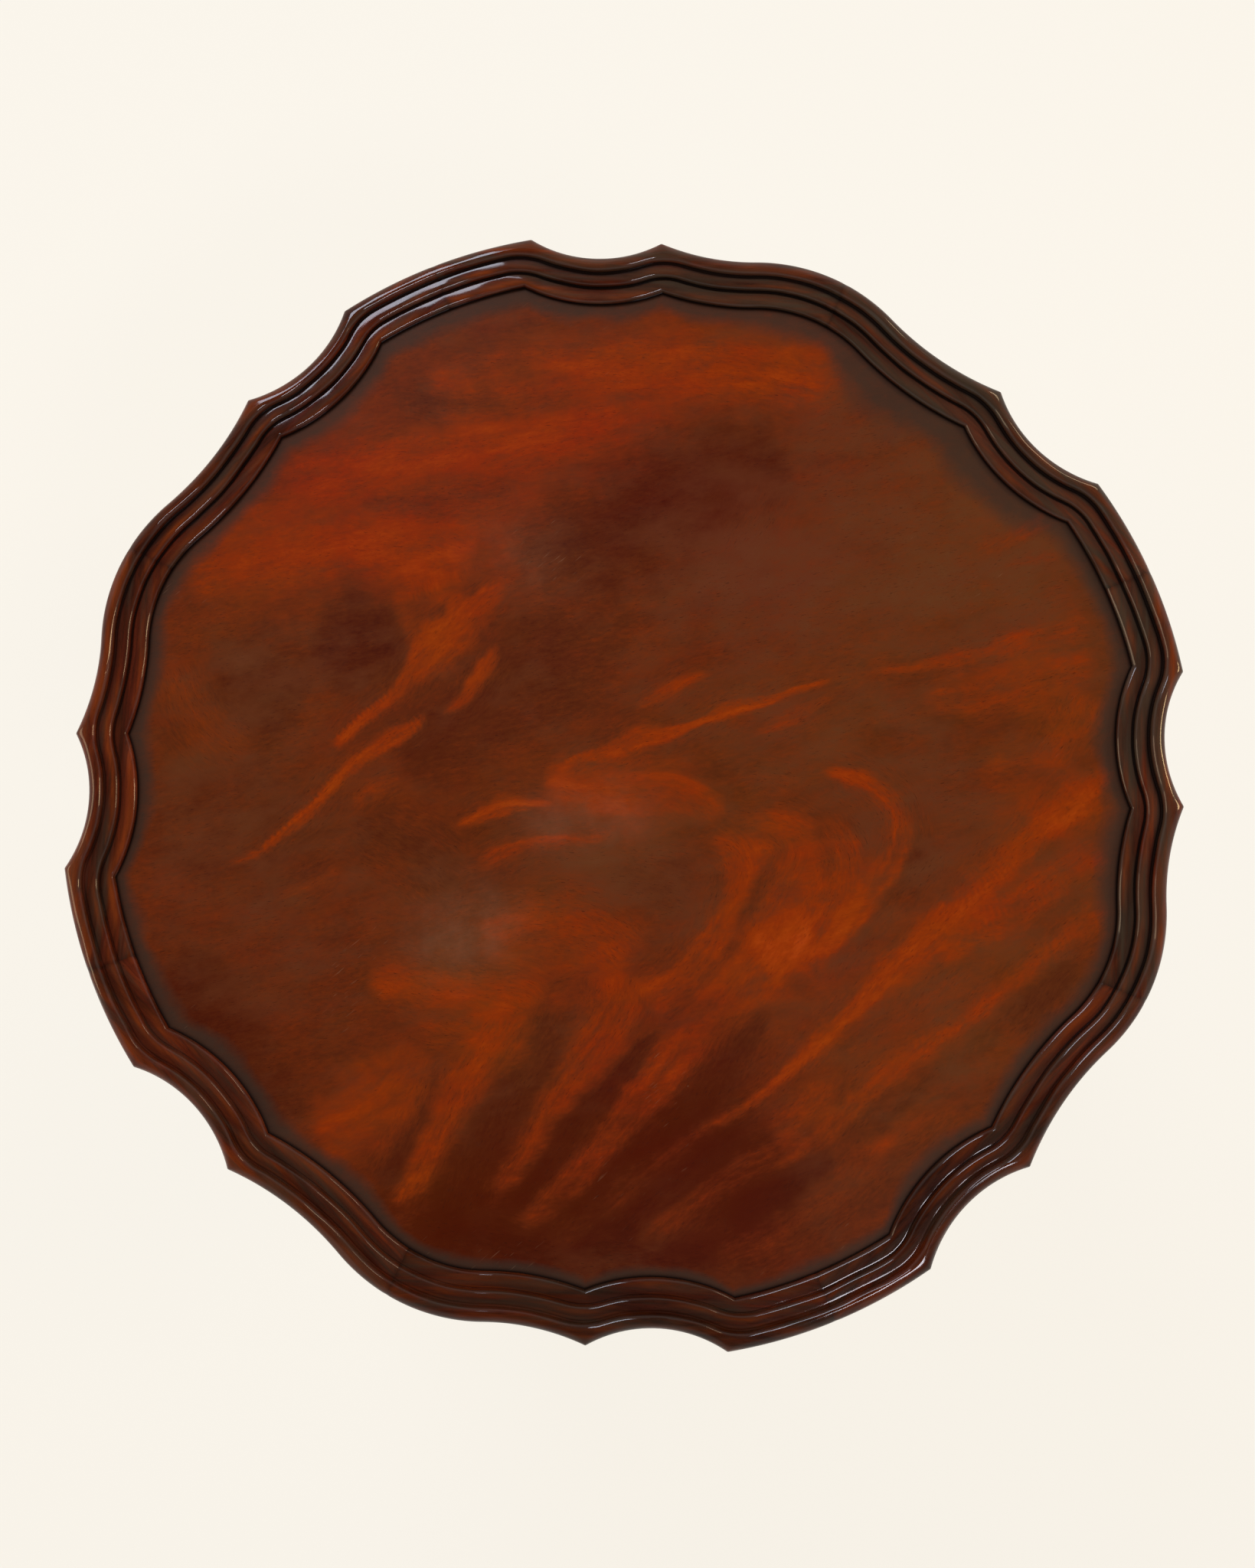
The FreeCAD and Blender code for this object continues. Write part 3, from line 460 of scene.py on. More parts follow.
        (-4.0, 48, [(-190, 165), (-120, 150), (-40, 175), (20, 160), (80, 135)]),
        (-3.5, 36, [(-10, -122), (22, -140), (5, -185), (50, -225)]),
        (6.0, 60, [(200, 170), (245, 60), (235, -60), (170, -160)]),
        (4.5, 55, [(150, 80), (110, 10), (20, -20), (-70, -80)]),
        (4.0, 26, [(-90, -110), (-70, -135)]),
        (2.0, 50, [(-230, 70), (-190, 10)]),
    ],
    # painted sheen: soft reflections of an overhead light on the polish
    "bloom": [
        (0.20, 22, [(-95, -88), (-78, -84)]),
        (0.12, 20, [(-38, -28), (-5, -24)]),
        (0.07, 22, [(-70, 128), (-50, 118)]),
    ],
    # bearing and width in mm of the dark band beside the rim: grime and dark toner, partly painted shade and
    # sheen
    "halo": [(0, 10), (25, 10), (40, 18), (55, 21), (75, 9), (95, 9), (115, 13), (140, 9), (165, 7), (195, 9),
             (225, 8), (250, 6), (272, 5), (300, 6), (335, 8)],
}


def smoothLine(points, count=6):
    # Catmull-Rom: each span p1..p2 bends towards the chord of its neighbours p0 and p3
    line = np.array([complex(*point) for point in points])
    padded = np.concatenate([[2 * line[0] - line[1]], line, [2 * line[-1] - line[-2]]])
    p0, p1, p2, p3 = (padded[k:len(padded) - 3 + k, None] for k in range(4))
    t = np.arange(count)[None, :] / count
    bent = 0.5 * (2 * p1 + (p2 - p0) * t + (2 * p0 - 5 * p1 + 4 * p2 - p3) * t ** 2
                  + (3 * p1 - p0 - 3 * p2 + p3) * t ** 3)
    return np.append(bent.ravel(), line[-1])


def nearLine(plan, line):
    # for each point the run and signed distance of the nearest place on the line, and the line's own runs
    start = line[:-1][None, :]
    span = (line[1:] - line[:-1])[None, :]
    share = np.clip(((plan[:, None] - start) * np.conj(span)).real / abs(span) ** 2, 0, 1)
    offset = plan[:, None] - (start + span * share)
    best = np.argmin(abs(offset), axis=1)
    rows = np.arange(len(plan))
    lengths = np.concatenate([[0], np.cumsum(abs(line[1:] - line[:-1]))])
    run = lengths[best] + share[rows, best] * abs(span[0, best])
    side = np.sign((np.conj(span[0, best]) * offset[rows, best]).imag)
    return run, side * abs(offset[rows, best]), lengths


def streakAmount(plan, seed, amount, softness, feather, rows, lean=0.0):
    # amount inside |d| < w, falling to nothing over the edge's soft band and towards both ends, broken by
    # noise long along the line; also how far the streak rules the grain, and the run and side of each point
    figure = flameFigure
    line = smoothLine([(x, y) for x, y, halfWidth in rows])
    halfWidths = smoothLine([(halfWidth, 0) for x, y, halfWidth in rows]).real
    widest = halfWidths.max()
    reach = 2.2 * widest + 10
    near = ((plan.real > line.real.min() - reach) & (plan.real < line.real.max() + reach)
            & (plan.imag > line.imag.min() - reach) & (plan.imag < line.imag.max() + reach))
    run, side, lengths = nearLine(plan[near], line)
    width = np.interp(run, lengths, halfWidths)
    width = width * (0.75 + 0.5 * latticeNoise(run / figure["swell"] + 7 * seed, side * 0, seed))
    width = width * (0.8 + 0.4 * latticeNoise(run / figure["nick"] + 5 * seed, np.sign(side) + 9, seed + 3))
    soft = softness * (1 - lean * np.sign(side))
    soft = soft * (0.7 + 0.6 * latticeNoise(run / figure["softSpell"] + 3 * seed, side * 0, seed + 2))
    edge = np.clip((1 + soft - abs(side) / width) / (2 * soft), 0, 1)
    fade = np.clip(np.minimum(run, lengths[-1] - run) / min(figure["fade"], 0.2 * lengths[-1]), 0, 1)
    lift = edge * edge * (3 - 2 * edge) * fade * (2 - fade)
    apart = max(2.0, 0.22 * widest)
    threads = latticeNoise(run / figure["threadSpell"] + 3 * seed, side / apart + 40, seed + 1)
    value = np.zeros(len(plan))
    value[near] = amount * lift * (1 - feather + feather * 2 * threads)
    broad, band = figure["ruling"]
    rule = np.zeros((3, len(plan)))
    rule[:, near] = [np.exp(-(side / (1.2 * width + 7)) ** 2) * np.clip((broad - widest) / band, 0, 1) * fade,
                     run, side]
    return value, rule


def patches(plan, rows):
    # amount * e^-(distance / half width)^2 about each row's line
    return [amount * np.exp(-(nearLine(plan, smoothLine(points))[1] / halfWidth) ** 2)
            for amount, halfWidth, points in rows]


def flameValues(plan, mirrored):
    # figure, shares of brown, deep red, painted sheen and yellow, run and side of the ruling streak, how far
    # it rules
    figure = flameFigure
    sheet = plan * np.exp(1j * math.radians(figure["sheetTurn"]))
    if mirrored:                # the sister sheet, opened like a book and turned half round
        sheet = -np.conj(plan * np.exp(1j * math.radians(figure["sisterTurn"])))
    drift = 0
    for swing, share, seed in figure["drift"]:
        x, y = sheet.real / swing, sheet.imag / swing
        drift = drift + share * (latticeNoise(x + 9, y + 5, seed) - 0.5
                                 + 1j * (latticeNoise(x + 31, y + 17, seed + 1) - 0.5))
    bent = sheet + drift * figure["waver"]
    flame = np.full(len(plan), figure["base"])
    grain = np.zeros((3, len(plan)))        # strength, run and side of the streak that rules so far
    second = np.zeros(len(plan))
    for number, streak in enumerate(figure["streaks"]):
        value, rule = streakAmount(bent, 11 + number, *streak)
        flame += value
        rule[1] += 400 * number             # each streak cuts its threads from another place in the grain
        stronger = rule[0] > grain[0]
        second = np.where(stronger, grain[0], np.maximum(second, rule[0]))
        grain = np.where(stronger, rule, grain)
    strength, run, side = grain
    lead = np.clip(2.5 * (strength - second) / np.maximum(strength, 1e-6), 0, 1)
    brown, deepRed, bloom = [np.max(patches(bent, figure[key]), axis=0)
                             for key in ("brown", "deepRed", "bloom")]
    yellow = np.sum(patches(bent, figure["yellow"]), axis=0)
    return flame, brown, deepRed, bloom, yellow, run, side, lead * np.clip(3 * strength, 0, 1)


def haloShare(sheet, fromEdge):
    # grime and dark toner beside the rim, partly painted shade and sheen: full out to half its width at that
    # bearing, gone half as far again
    width = byBearing(flameFigure["halo"], np.degrees(np.angle(sheet)))
    width = width * (0.7 + 0.6 * latticeNoise(sheet.real / 18 + 3, sheet.imag / 18 + 3, 90))
    return np.clip((1.45 * width - fromEdge) / (0.9 * width), 0, 1)


sheetMesh = {
    "spacing": 3.0,           # mm between points along the edge
    "edgeRings": [0, 0.7, 1.5, 2.5, 3.8, 5.4, 7.3],     # mm in from the edge
    "mostRings": 124,
    "mostPoints": 95000,
    "centreShare": 0.004,     # the whole field closes to this share of its edge
    "crease": 1.3,            # mm of painted shade and dirt in the corner where field and rim meet
    "sharpAngle": 40,
}


def veneerSheet(name, field, bore, mirrored):
    # rings from the outline inwards, close together at first, then in equal shares to the bore or the middle
    grid = sheetMesh
    veneer = rimProfile["veneer"]
    edge = tierLoop(rimProfile["stepInsets"][2], rimProfile["fieldCorner"], grid["spacing"])
    columns = len(edge)
    inner = bore * edge / abs(edge) if bore else grid["centreShare"] * edge
    away = abs(edge - inner)
    nearEdge = np.array(grid["edgeRings"])
    ringCount = min(grid["mostRings"], grid["mostPoints"] // columns) - len(nearEdge)
    steps = np.linspace(0, 1, ringCount + 1)[1:, None]
    depth = np.concatenate([np.repeat(nearEdge[:, None], columns, axis=1),
                            nearEdge[-1] + (away - nearEdge[-1])[None, :] * steps])[::-1]
    underShare = np.array([1.0, 0.5, 0.0])[:, None]
    plan = np.concatenate([edge[None, :] + (inner - edge)[None, :] * depth / away,
                           inner[None, :] + (edge - inner)[None, :] * underShare])
    rows = len(plan)
    height = np.concatenate([np.full(rows - 3, field), np.full(3, field - veneer)])
    faces = gridFaces(rows, columns, closeRows=bool(bore), closeColumns=True)
    if not bore:
        faces.append(list(range(columns)))
        faces.append([(rows - 1) * columns + column for column in reversed(range(columns))])
    flat = plan.ravel()
    points = np.stack([flat.real, flat.imag, np.repeat(height, columns)], axis=-1) * mm
    flame, brown, deepRed, bloom, yellow, run, side, grainShare = flameValues(flat, mirrored)
    fromEdge = np.concatenate([depth, away[None, :] * (1 - underShare)]).ravel()
    halo = haloShare(flat * np.exp(1j * math.radians(flameFigure["sheetTurn"])), fromEdge)
    values = {"figureTone": flame, "grainShare": grainShare, "bloom": bloom, "yellow": yellow,
              "edgeDirt": np.exp(-(fromEdge / grid["crease"]) ** 2),
              "brownDeep": np.stack([brown, deepRed, halo], axis=-1),
              "grainPlace": np.stack([run, side, 0 * run], axis=-1) * mm}
    return meshObject(name, points, faces, values, grid["sharpAngle"])


# materials

def srgb(hexText):
    # ((c + 0.055) / 1.055)^2.4 above 0.04045, c / 12.92 below
    parts = [int(hexText[k:k + 2], 16) / 255 for k in (1, 3, 5)]
    return tuple(((c + 0.055) / 1.055) ** 2.4 if c > 0.04045 else c / 12.92 for c in parts) + (1.0,)


def addNode(tree, kind, settings={}):
    # nodes and outputs are linked to the input of that name or number, stops become the places and colours
    # of a ramp, and other values go to the property of that name, or else to that input
    node = tree.nodes.new("ShaderNode" + kind)
    for key, value in settings.items():
        if isinstance(value, bpy.types.Node):
            value = next(output for output in value.outputs if output.enabled)
        if isinstance(value, bpy.types.NodeSocket):
            tree.links.new(value, node.inputs[key])
        elif key == "stops":
            elements = node.color_ramp.elements
            elements.remove(elements[1])
            elements[0].position = value[0][0]
            elements[0].color = srgb(value[0][1])
            for place, colour in value[1:]:
                elements.new(place).color = srgb(colour)
        elif isinstance(key, str) and hasattr(node, key):
            setattr(node, key, value)
        else:
            node.inputs[key].default_value = value
    return node


def newFinish(name):
    finish = bpy.data.materials.new(name)
    finish.use_nodes = True
    finish.node_tree.nodes.clear()
    return finish, partial(addNode, finish.node_tree)


def layOver(add, colour, layers):
    # each layer hides what lies under it by its share
    for share, tone in layers:
        colour = add("Mix", {"data_type": "RGBA", 0: share, 6: colour, 7: srgb(tone)})
    return colour


def stretchedNoise(add, vector, lengths, seed, detail, roughness):
    # lengths are the size in mm of one patch along the grain, across it and through it
    place = add("Mapping", {"Scale": tuple(1000 / length for length in lengths), "Vector": vector,
                            "Location": (seed * 3.7, seed * 1.3, seed * 2.1)})
    return add("TexNoise", {"Scale": 1.0, "Detail": detail, "Roughness": roughness, "Vector": place})


oldPolish = {
    "roughness": (0.25, 0.41),      # where it was rubbed most and least
    "coat": 0.3,
    "coatRoughness": 0.10,
    "specular": 0.02,
    "wear": ((30, 30, 30), 2, 4.0, 0.6),
    "poreDepth": 0.6,
    "bump": 0.3,
    "bumpDistance": 0.0003,
}

# patterns: size in mm of one patch along the grain, across it and through it; seed, detail, roughness
flameLook = oldPolish | {
    "roughness": (0.30, 0.48),
    "coat": 0.4,
    "wear": ((45, 45, 45), 2, 5.0, 0.6),
    "poreDepth": 0.25,
    "bump": 0.25,
    "bumpDistance": 0.0004,
    "ripple": ((30, 22, 30), 5, 2.0, 0.5),
    "fleck": ((5.0, 2.0, 5.0), 1, 4.0, 0.65),
    "thread": ((5.0, 1.7, 5.0), 2, 4.0, 0.65),
    "fineShare": 0.42,
    "mottle": ((22.0, 7.5, 20.0), 13, 4.0, 0.6),
    "bundle": ((30.0, 5.5, 5.0), 5, 2.0, 0.5),
    "bundleShare": 0.4,
    "cloud": ((60, 60, 60), 4, 4.0, 0.6),
    "cloudShare": 0.2,
    "poreAlong": ((3.2, 0.42, 5.0), 7, 1.0, 0.5),       # drawn coarser than real mahogany pores, 0.2 mm
    "poreLaid": ((3.2, 0.42, 5.0), 8, 1.0, 0.5),
    "tint": ((34, 20, 20), 17, 4.0, 0.6),
    "hue": ((40, 22, 30), 29, 5.0, 0.65),
    "hueStep": 0.0011,
    "hueWander": 12.0,
    "rag": ((9, 9, 9), 9, 4.0, 0.65),
    "sheenPatch": ((14, 14, 14), 21, 4.0, 0.6),
    "scratch": ((9.0, 0.8, 5.0), 23, 1.0, 0.5),
    "scratched": ((90, 90, 90), 25, 2.0, 0.5),
    "speckScale": 16.0,
    "grainTurn": -12,         # degrees from the sheet to its flecks
    "scratchTurn": -20,
    "stops": [(0.0, "#350f05"), (0.16, "#451708"), (0.36, "#55240d"), (0.54, "#6b2a0b"), (0.72, "#812e05"),
              (0.88, "#8f3605"), (1.0, "#9c3e0a")],
    "brown": "#5f321b",
    "deepRed": "#461400",
    "poreColour": "#200a05",
    # grey-brown of the band beside the rim: grime, partly painted shade and sheen
    "grimeAndSheen": "#352b23",
    # near-black of the painted shade and dirt in the corner by the rim
    "crease": "#0e0605",
    # pale painted sheen, a soft reflection of an overhead light
    "bloom": "#83604a",
    "mark": "#b08a6c",
}


def polishedWood(add, colour, pores, ripple, look):
    # a coat rubbed unevenly, over sunken pores
    place = add("TexCoord").outputs["Object"]
    wear = stretchedNoise(add, place, *look["wear"])
    rough = add("MapRange", {"Value": wear, "From Min": 0.3, "From Max": 0.7,
                             "To Min": look["roughness"][0], "To Max": look["roughness"][1]})
    relief = add("Math", {"operation": "MULTIPLY_ADD", 0: pores, 1: -look["poreDepth"], 2: ripple})
    bump = add("Bump", {"Strength": look["bump"], "Distance": look["bumpDistance"], "Height": relief})
    surface = add("BsdfPrincipled", {"Base Color": colour, "Roughness": rough, "Normal": bump,
                                     "Coat Weight": look["coat"], "Coat Roughness": look["coatRoughness"],
                                     "Specular IOR Level": look["specular"]})
    add("OutputMaterial", {"Surface": surface})


def flameVeneer():
    # French-polished crotch mahogany veneer: feathered flame over dark brown, deep shine with fine open pores
    finish, add = newFinish("frenchPolishedFlameMahogany")
    look = flameLook
    names = ("figureTone", "grainShare", "edgeDirt", "yellow", "bloom")
    flame, share, shadeAndDirt, yellow, bloom = [add("Attribute", {"attribute_name": name}).outputs["Fac"]
                                         for name in names]
    tints, grain = [add("Attribute", {"attribute_name": name}).outputs["Vector"]
                    for name in ("brownDeep", "grainPlace")]
    brown, deepRed, grimeAndSheen = add("SeparateXYZ", {"Vector": tints}).outputs
    place = add("TexCoord").outputs["Object"]
    turns = np.radians([flameFigure["sheetTurn"] + look["grainTurn"], look["scratchTurn"]])
    laid, slanted = [add("VectorRotate", {"rotation_type": "Z_AXIS", "Vector": place, "Angle": turn})
                     for turn in turns]
    # threads follow the streaks, flecks lie along the sheet where no streak rules
    fleck, mottle, poreLaid, tint, hueNoise = [stretchedNoise(add, laid, *look[key])
                                               for key in ("fleck", "mottle", "poreLaid", "tint", "hue")]
    thread, bundle, poreAlong = [stretchedNoise(add, grain, *look[key])
                                 for key in ("thread", "bundle", "poreAlong")]
    overall = ("cloud", "rag", "sheenPatch", "scratched", "ripple")
    cloud, rag, sheenNoise, scratched, ripple = [stretchedNoise(add, place, *look[key]) for key in overall]
    bundleShare = add("Math", {"operation": "MULTIPLY", 0: share, 1: look["bundleShare"]})
    grains = ((share, fleck, thread), (bundleShare, mottle, bundle), (share, poreLaid, poreAlong))
    fine, coarse, poreNoise = [add("Mix", {"data_type": "FLOAT", 0: ruled, 2: lying, 3: following})
                               for ruled, lying, following in grains]
    # level = flame + the sum of share (noise - 0.5)
    level = flame
    strength = add("MapRange", {"Value": flame, "From Min": 0.42, "From Max": 0.72,
                                "To Min": 0.28, "To Max": 0.62})
    for noise, part in ((coarse, strength), (fine, look["fineShare"]), (cloud, look["cloudShare"])):
        even = add("Math", {"operation": "SUBTRACT", 0: noise, 1: 0.5})
        level = add("Math", {"operation": "MULTIPLY_ADD", 0: even, 1: part, 2: level})
    # brown heartwood and deep red hide the figure where there is little flame
    calm = add("MapRange", {"Value": level, "From Min": 0.75, "From Max": 0.35})
    spread = add("Math", {"operation": "MULTIPLY_ADD", 0: tint, 1: 2.4, 2: -1.2})
    brownPatch = add("Math", {"operation": "ADD", "use_clamp": True, 0: spread, 1: brown})
    brownShare, deepShare = [add("Math", {"operation": "MULTIPLY", 0: tinted, 1: calm})
                             for tinted in (brownPatch, deepRed)]
    ramp = add("ValToRGB", {"Fac": level, "stops": look["stops"]})
    colour = layOver(add, ramp, [(brownShare, look["brown"]), (deepShare, look["deepRed"])])
    # hue = 0.5 + step (min(yellow, 0) + calm max(yellow, 0) + wander (noise - 0.5)), a hair either way
    redder = add("Math", {"operation": "MINIMUM", 0: yellow, 1: 0.0})
    yellower = add("Math", {"operation": "MAXIMUM", 0: yellow, 1: 0.0})
    shifted = add("Math", {"operation": "MULTIPLY_ADD", 0: yellower, 1: calm, 2: redder})
    wandered = add("Math", {"operation": "MULTIPLY_ADD", 0: hueNoise, 1: look["hueWander"], 2: shifted})
    hue = add("Math", {"operation": "MULTIPLY_ADD", 0: wandered, 1: look["hueStep"],
                       2: 0.5 - look["hueStep"] * look["hueWander"] / 2})
    hued = add("HueSaturation", {"Hue": hue, "Color": colour})
    pores = add("MapRange", {"Value": poreNoise, "From Min": 0.66, "From Max": 0.74})
    poreShade = add("Math", {"operation": "MULTIPLY", 0: pores, 1: 0.5})
    # the band beside the rim: grime and toner with painted shade and sheen, ragged at its edge
    ragged = add("Math", {"operation": "MULTIPLY_ADD", 0: rag, 1: 0.7, 2: grimeAndSheen})
    halo = add("MapRange", {"Value": ragged, "From Min": 0.45, "From Max": 1.35, "To Max": 0.78})
    # painted sheen, made patchy
    sheenPatch = add("MapRange", {"Value": sheenNoise, "From Min": 0.3, "From Max": 0.7,
                                  "To Min": 0.4, "To Max": 1.6})
    sheenShare = add("Math", {"operation": "MULTIPLY", 0: bloom, 1: sheenPatch})
    # a few pale specks and short scratches
    specks = add("TexVoronoi", {"Scale": look["speckScale"], "Vector": place}).outputs["Distance"]
    speck = add("MapRange", {"Value": specks, "From Min": 0.018, "From Max": 0.010})
    scratches = stretchedNoise(add, slanted, *look["scratch"])
    scratches = add("Math", {"operation": "MULTIPLY", 0: scratches, 1: scratched})
    scratch = add("MapRange", {"Value": scratches, "From Min": 0.44, "From Max": 0.50, "To Max": 0.22})
    marks = add("Math", {"operation": "MAXIMUM", 0: speck, 1: scratch})
    markShare = add("Math", {"operation": "MULTIPLY", 0: marks, 1: 0.5})
    # layers: pores, the band by the rim with painted shade and sheen, a painted sheen, pale marks, and
    # painted shade and dirt in the corner
    shares = {"poreColour": poreShade, "grimeAndSheen": halo, "bloom": sheenShare, "mark": markShare, "crease": shadeAndDirt}
    colour = layOver(add, hued, [(share, look[key]) for key, share in shares.items()])
    polishedWood(add, colour, pores, ripple, look)
    return finish


def woodColour(add, vector, look):
    # solid mahogany along X: bands, ribbon streaks and pores; returns colour, pore marks and fine relief
    bands, ribbon, poreNoise = [stretchedNoise(add, vector, *look[key]) for key in ("band", "ribbon", "pore")]
    pores = add("MapRange", {"Value": poreNoise, "From Min": 0.62, "From Max": 0.72})
    mixed = add("Math", {"operation": "MULTIPLY_ADD", 0: ribbon, 1: 0.55, 2: bands})
    level = add("MapRange", {"Value": mixed, "From Min": 0.5, "From Max": 1.05})
    ramp = add("ValToRGB", {"Fac": level, "stops": look["stops"]})
    shade = add("Math", {"operation": "MULTIPLY", 0: pores, 1: 0.5})
    return layOver(add, ramp, [(shade, look["poreColour"])]), pores, ribbon


mouldingLook = oldPolish | {
    "roughness": (0.27, 0.43),
    "coat": 0.45,
    "coatRoughness": 0.07,
    "bumpDistance": 0.0005,
    "band": ((160, 14, 14), 3, 3.0, 0.55),
    "ribbon": ((30, 1.6, 1.6), 6, 4.0, 0.6),
    "pore": ((3.0, 0.35, 0.35), 8, 1.0, 0.5),
    "rubbing": ((55, 9, 9), 11, 4.0, 0.6),
    "filmAndSheenPatch": ((60, 6, 6), 15, 4.0, 0.6),
    "stops": [(0.0, "#230e07"), (0.35, "#331408"), (0.65, "#46190b"), (0.88, "#5a220f"), (1.0, "#6c2c14")],
    "poreColour": "#160704",
    # near-black of the painted shade and dirt in the quirks, also used for the joints
    "quirkShadeAndDirt": "#0c0605",
    "rubbed": "#7c3710",
    # grey of the film on the flats: grime, and a painted sheen
    "grimeAndSheen": "#392f24",
}


def mouldedMahogany():
    # carved mahogany moulding under old polish: black in the quirks with painted shade and dirt, grey on the
    # flats with grime and a painted sheen, and rubbed red-brown along the lips
    finish, add = newFinish("carvedMahoganyMoulding")
    look = mouldingLook
    board = add("Attribute", {"attribute_name": "board"}).outputs["Vector"]
    recess, joint, tone, film = [add("Attribute", {"attribute_name": name}).outputs["Fac"]
                                 for name in ("recess", "jointLine", "boardTone", "film")]
    colour, pores, ribbon = woodColour(add, board, look)
    rubbing, filmAndSheenNoise = [stretchedNoise(add, board, *look[key]) for key in ("rubbing", "filmAndSheenPatch")]
    # lips, recess under 0.4, more rubbed where the noise is high
    lip = add("MapRange", {"Value": recess, "From Min": 0.4, "From Max": 0.1})
    patchy = add("MapRange", {"Value": rubbing, "From Min": 0.4, "From Max": 0.65, "To Max": 0.6})
    rubbed = add("Math", {"operation": "MULTIPLY", 0: lip, 1: patchy})
    # grey film on the flats: grime, and a painted sheen where the flats would catch reflections
    filmAndSheenPatch = add("Math", {"operation": "MULTIPLY_ADD", 0: film, 1: 0.5, 2: filmAndSheenNoise})
    sheenAndGrimeShare = add("MapRange", {"Value": filmAndSheenPatch, "From Min": 0.58, "From Max": 0.95, "To Max": 0.9})
    # the quirks go near-black with painted shade and dirt
    shadeAndDirt = add("MapRange", {"Value": recess, "From Min": 0.4, "From Max": 0.8, "To Max": 0.92})
    jointShare = add("Math", {"operation": "MULTIPLY", 0: joint, 1: 0.35})
    colour = layOver(add, colour, [(rubbed, look["rubbed"]), (sheenAndGrimeShare, look["grimeAndSheen"]),
                                   (shadeAndDirt, look["quirkShadeAndDirt"]), (jointShare, look["quirkShadeAndDirt"])])
    # brightness from the board's tone and the painted shade by bearing
    toned = add("HueSaturation", {"Value": tone, "Color": colour})
    polishedWood(add, toned, pores, ribbon, look)
    return finish


solidLook = oldPolish | {
    "band": ((220, 22, 22), 3, 3.0, 0.55),
    "ribbon": ((60, 2.2, 2.2), 6, 4.0, 0.6),
    "pore": ((3.5, 0.4, 0.4), 8, 1.0, 0.5),
    "stops": [(0.0, "#2c1007"), (0.35, "#42190b"), (0.65, "#5a240f"), (0.88, "#713012"), (1.0, "#84401c")],
    "poreColour": "#1b0905",
}

plainLook = oldPolish | {
    "roughness": (0.43, 0.59),
    "coat": 0.0,
    "band": ((300, 30, 30), 3, 3.0, 0.55),
    "ribbon": ((90, 3.0, 3.0), 6, 4.0, 0.6),
    "pore": ((4.0, 0.5, 0.5), 8, 1.0, 0.5),
    "stops": [(0.0, "#3a1a0e"), (0.35, "#4e2615"), (0.65, "#62311b"), (0.88, "#754024"), (1.0, "#85502f")],
    "poreColour": "#241009",
}

sawnLook = plainLook | {"roughness": (0.58, 0.74)}


def solidMahogany(name, look, tip, turn):
    # solid mahogany under polish: the grain runs along the turned length, with ribbon streaks and open pores;
    # tip and turn are the grain's degrees about Y and Z
    finish, add = newFinish(name)
    place = add("TexCoord").outputs["Object"]
    grain = add("Mapping", {"vector_type": "TEXTURE", "Vector": place,
                            "Rotation": (0, math.radians(tip), math.radians(turn))})
    colour, pores, ribbon = woodColour(add, grain, look)
    polishedWood(add, colour, pores, ribbon, look)
    return finish


metalLooks = {
    # darker and brighter tone, lowest and highest roughness, grit in mm, metallic, and depth of the grit in m
    "turnedBrass": ("#7a5a26", "#b58d45", 0.22, 0.42, (0.3, 0.3, 6), 1.0, 0.00005),
    # forged iron under old black scale: dull and nearly black, its darker patches a little browner
    "forgedIron": ("#2b2320", "#3a3634", 0.5, 0.75, (1.2, 1.2, 1.2), 0.8, 0.0003),
    "steelScrews": ("#4a4642", "#7d7a75", 0.3, 0.5, (0.25, 3, 0.25), 1.0, 0.00005),
}


def metalFinish(name, low, high, roughLow, roughHigh, grit, metallic, gritDepth):
    # colour runs between two tones with tarnish, and roughness follows the same patches
    finish, add = newFinish(name)
    place = add("TexCoord").outputs["Object"]
    tarnish = stretchedNoise(add, place, (9, 9, 9), 5, 5.0, 0.6)
    scratch = stretchedNoise(add, place, grit, 8, 2.0, 0.5)
    colour = add("ValToRGB", {"Fac": tarnish, "stops": [(0.3, low), (0.7, high)]})
    rough = add("MapRange", {"Value": tarnish, "From Min": 0.3, "From Max": 0.7,
                             "To Min": roughHigh, "To Max": roughLow})
    bump = add("Bump", {"Strength": 0.4, "Distance": gritDepth, "Height": scratch})
    surface = add("BsdfPrincipled", {"Base Color": colour, "Metallic": metallic, "Roughness": rough,
                                     "Normal": bump})
    add("OutputMaterial", {"Surface": surface})
    return finish


print("materials")
flameFinish = flameVeneer()
mouldingFinish = mouldedMahogany()
turnedFinish = solidMahogany("turnedMahogany", solidLook, -90, 0)       # grain along Z
hubFinish = solidMahogany("turnedMahoganyHub", solidLook, 0, 35)
plainFinish = solidMahogany("plainMahoganyVeneer", plainLook, 0, 20)
coreFinish = solidMahogany("sawnMahoganyCore", sawnLook, 0, 110)
brassFinish, ironFinish, steelFinish = [metalFinish(name, *look) for name, look in metalLooks.items()]

# tiers

tiers = {
    "lower": {"field": 400.0, "bore": 19.1, "mirrored": True},
    "upper": {"field": 709.5, "bore": 0.0, "mirrored": False},
}

for tier, sizes in tiers.items():
    body = tier + "_tier"
    for number in range(1, 9):
        node = tier + "_rim_" + str(number)
        rim = mouldRim(node + "_moulding", sizes["field"], number)
        rim.data.materials.append(mouldingFinish)
        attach(rim, body)
        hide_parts(node)
    sheet = veneerSheet(tier + "_flame_sheet", sizes["field"], sizes["bore"], sizes["mirrored"])
    sheet.data.materials.append(flameFinish)
    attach(sheet, body)
    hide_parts(tier + "_face_veneer")
    print(tier, "tier:", len(sheet.data.polygons), "faces in the field")

# carried-over nodes

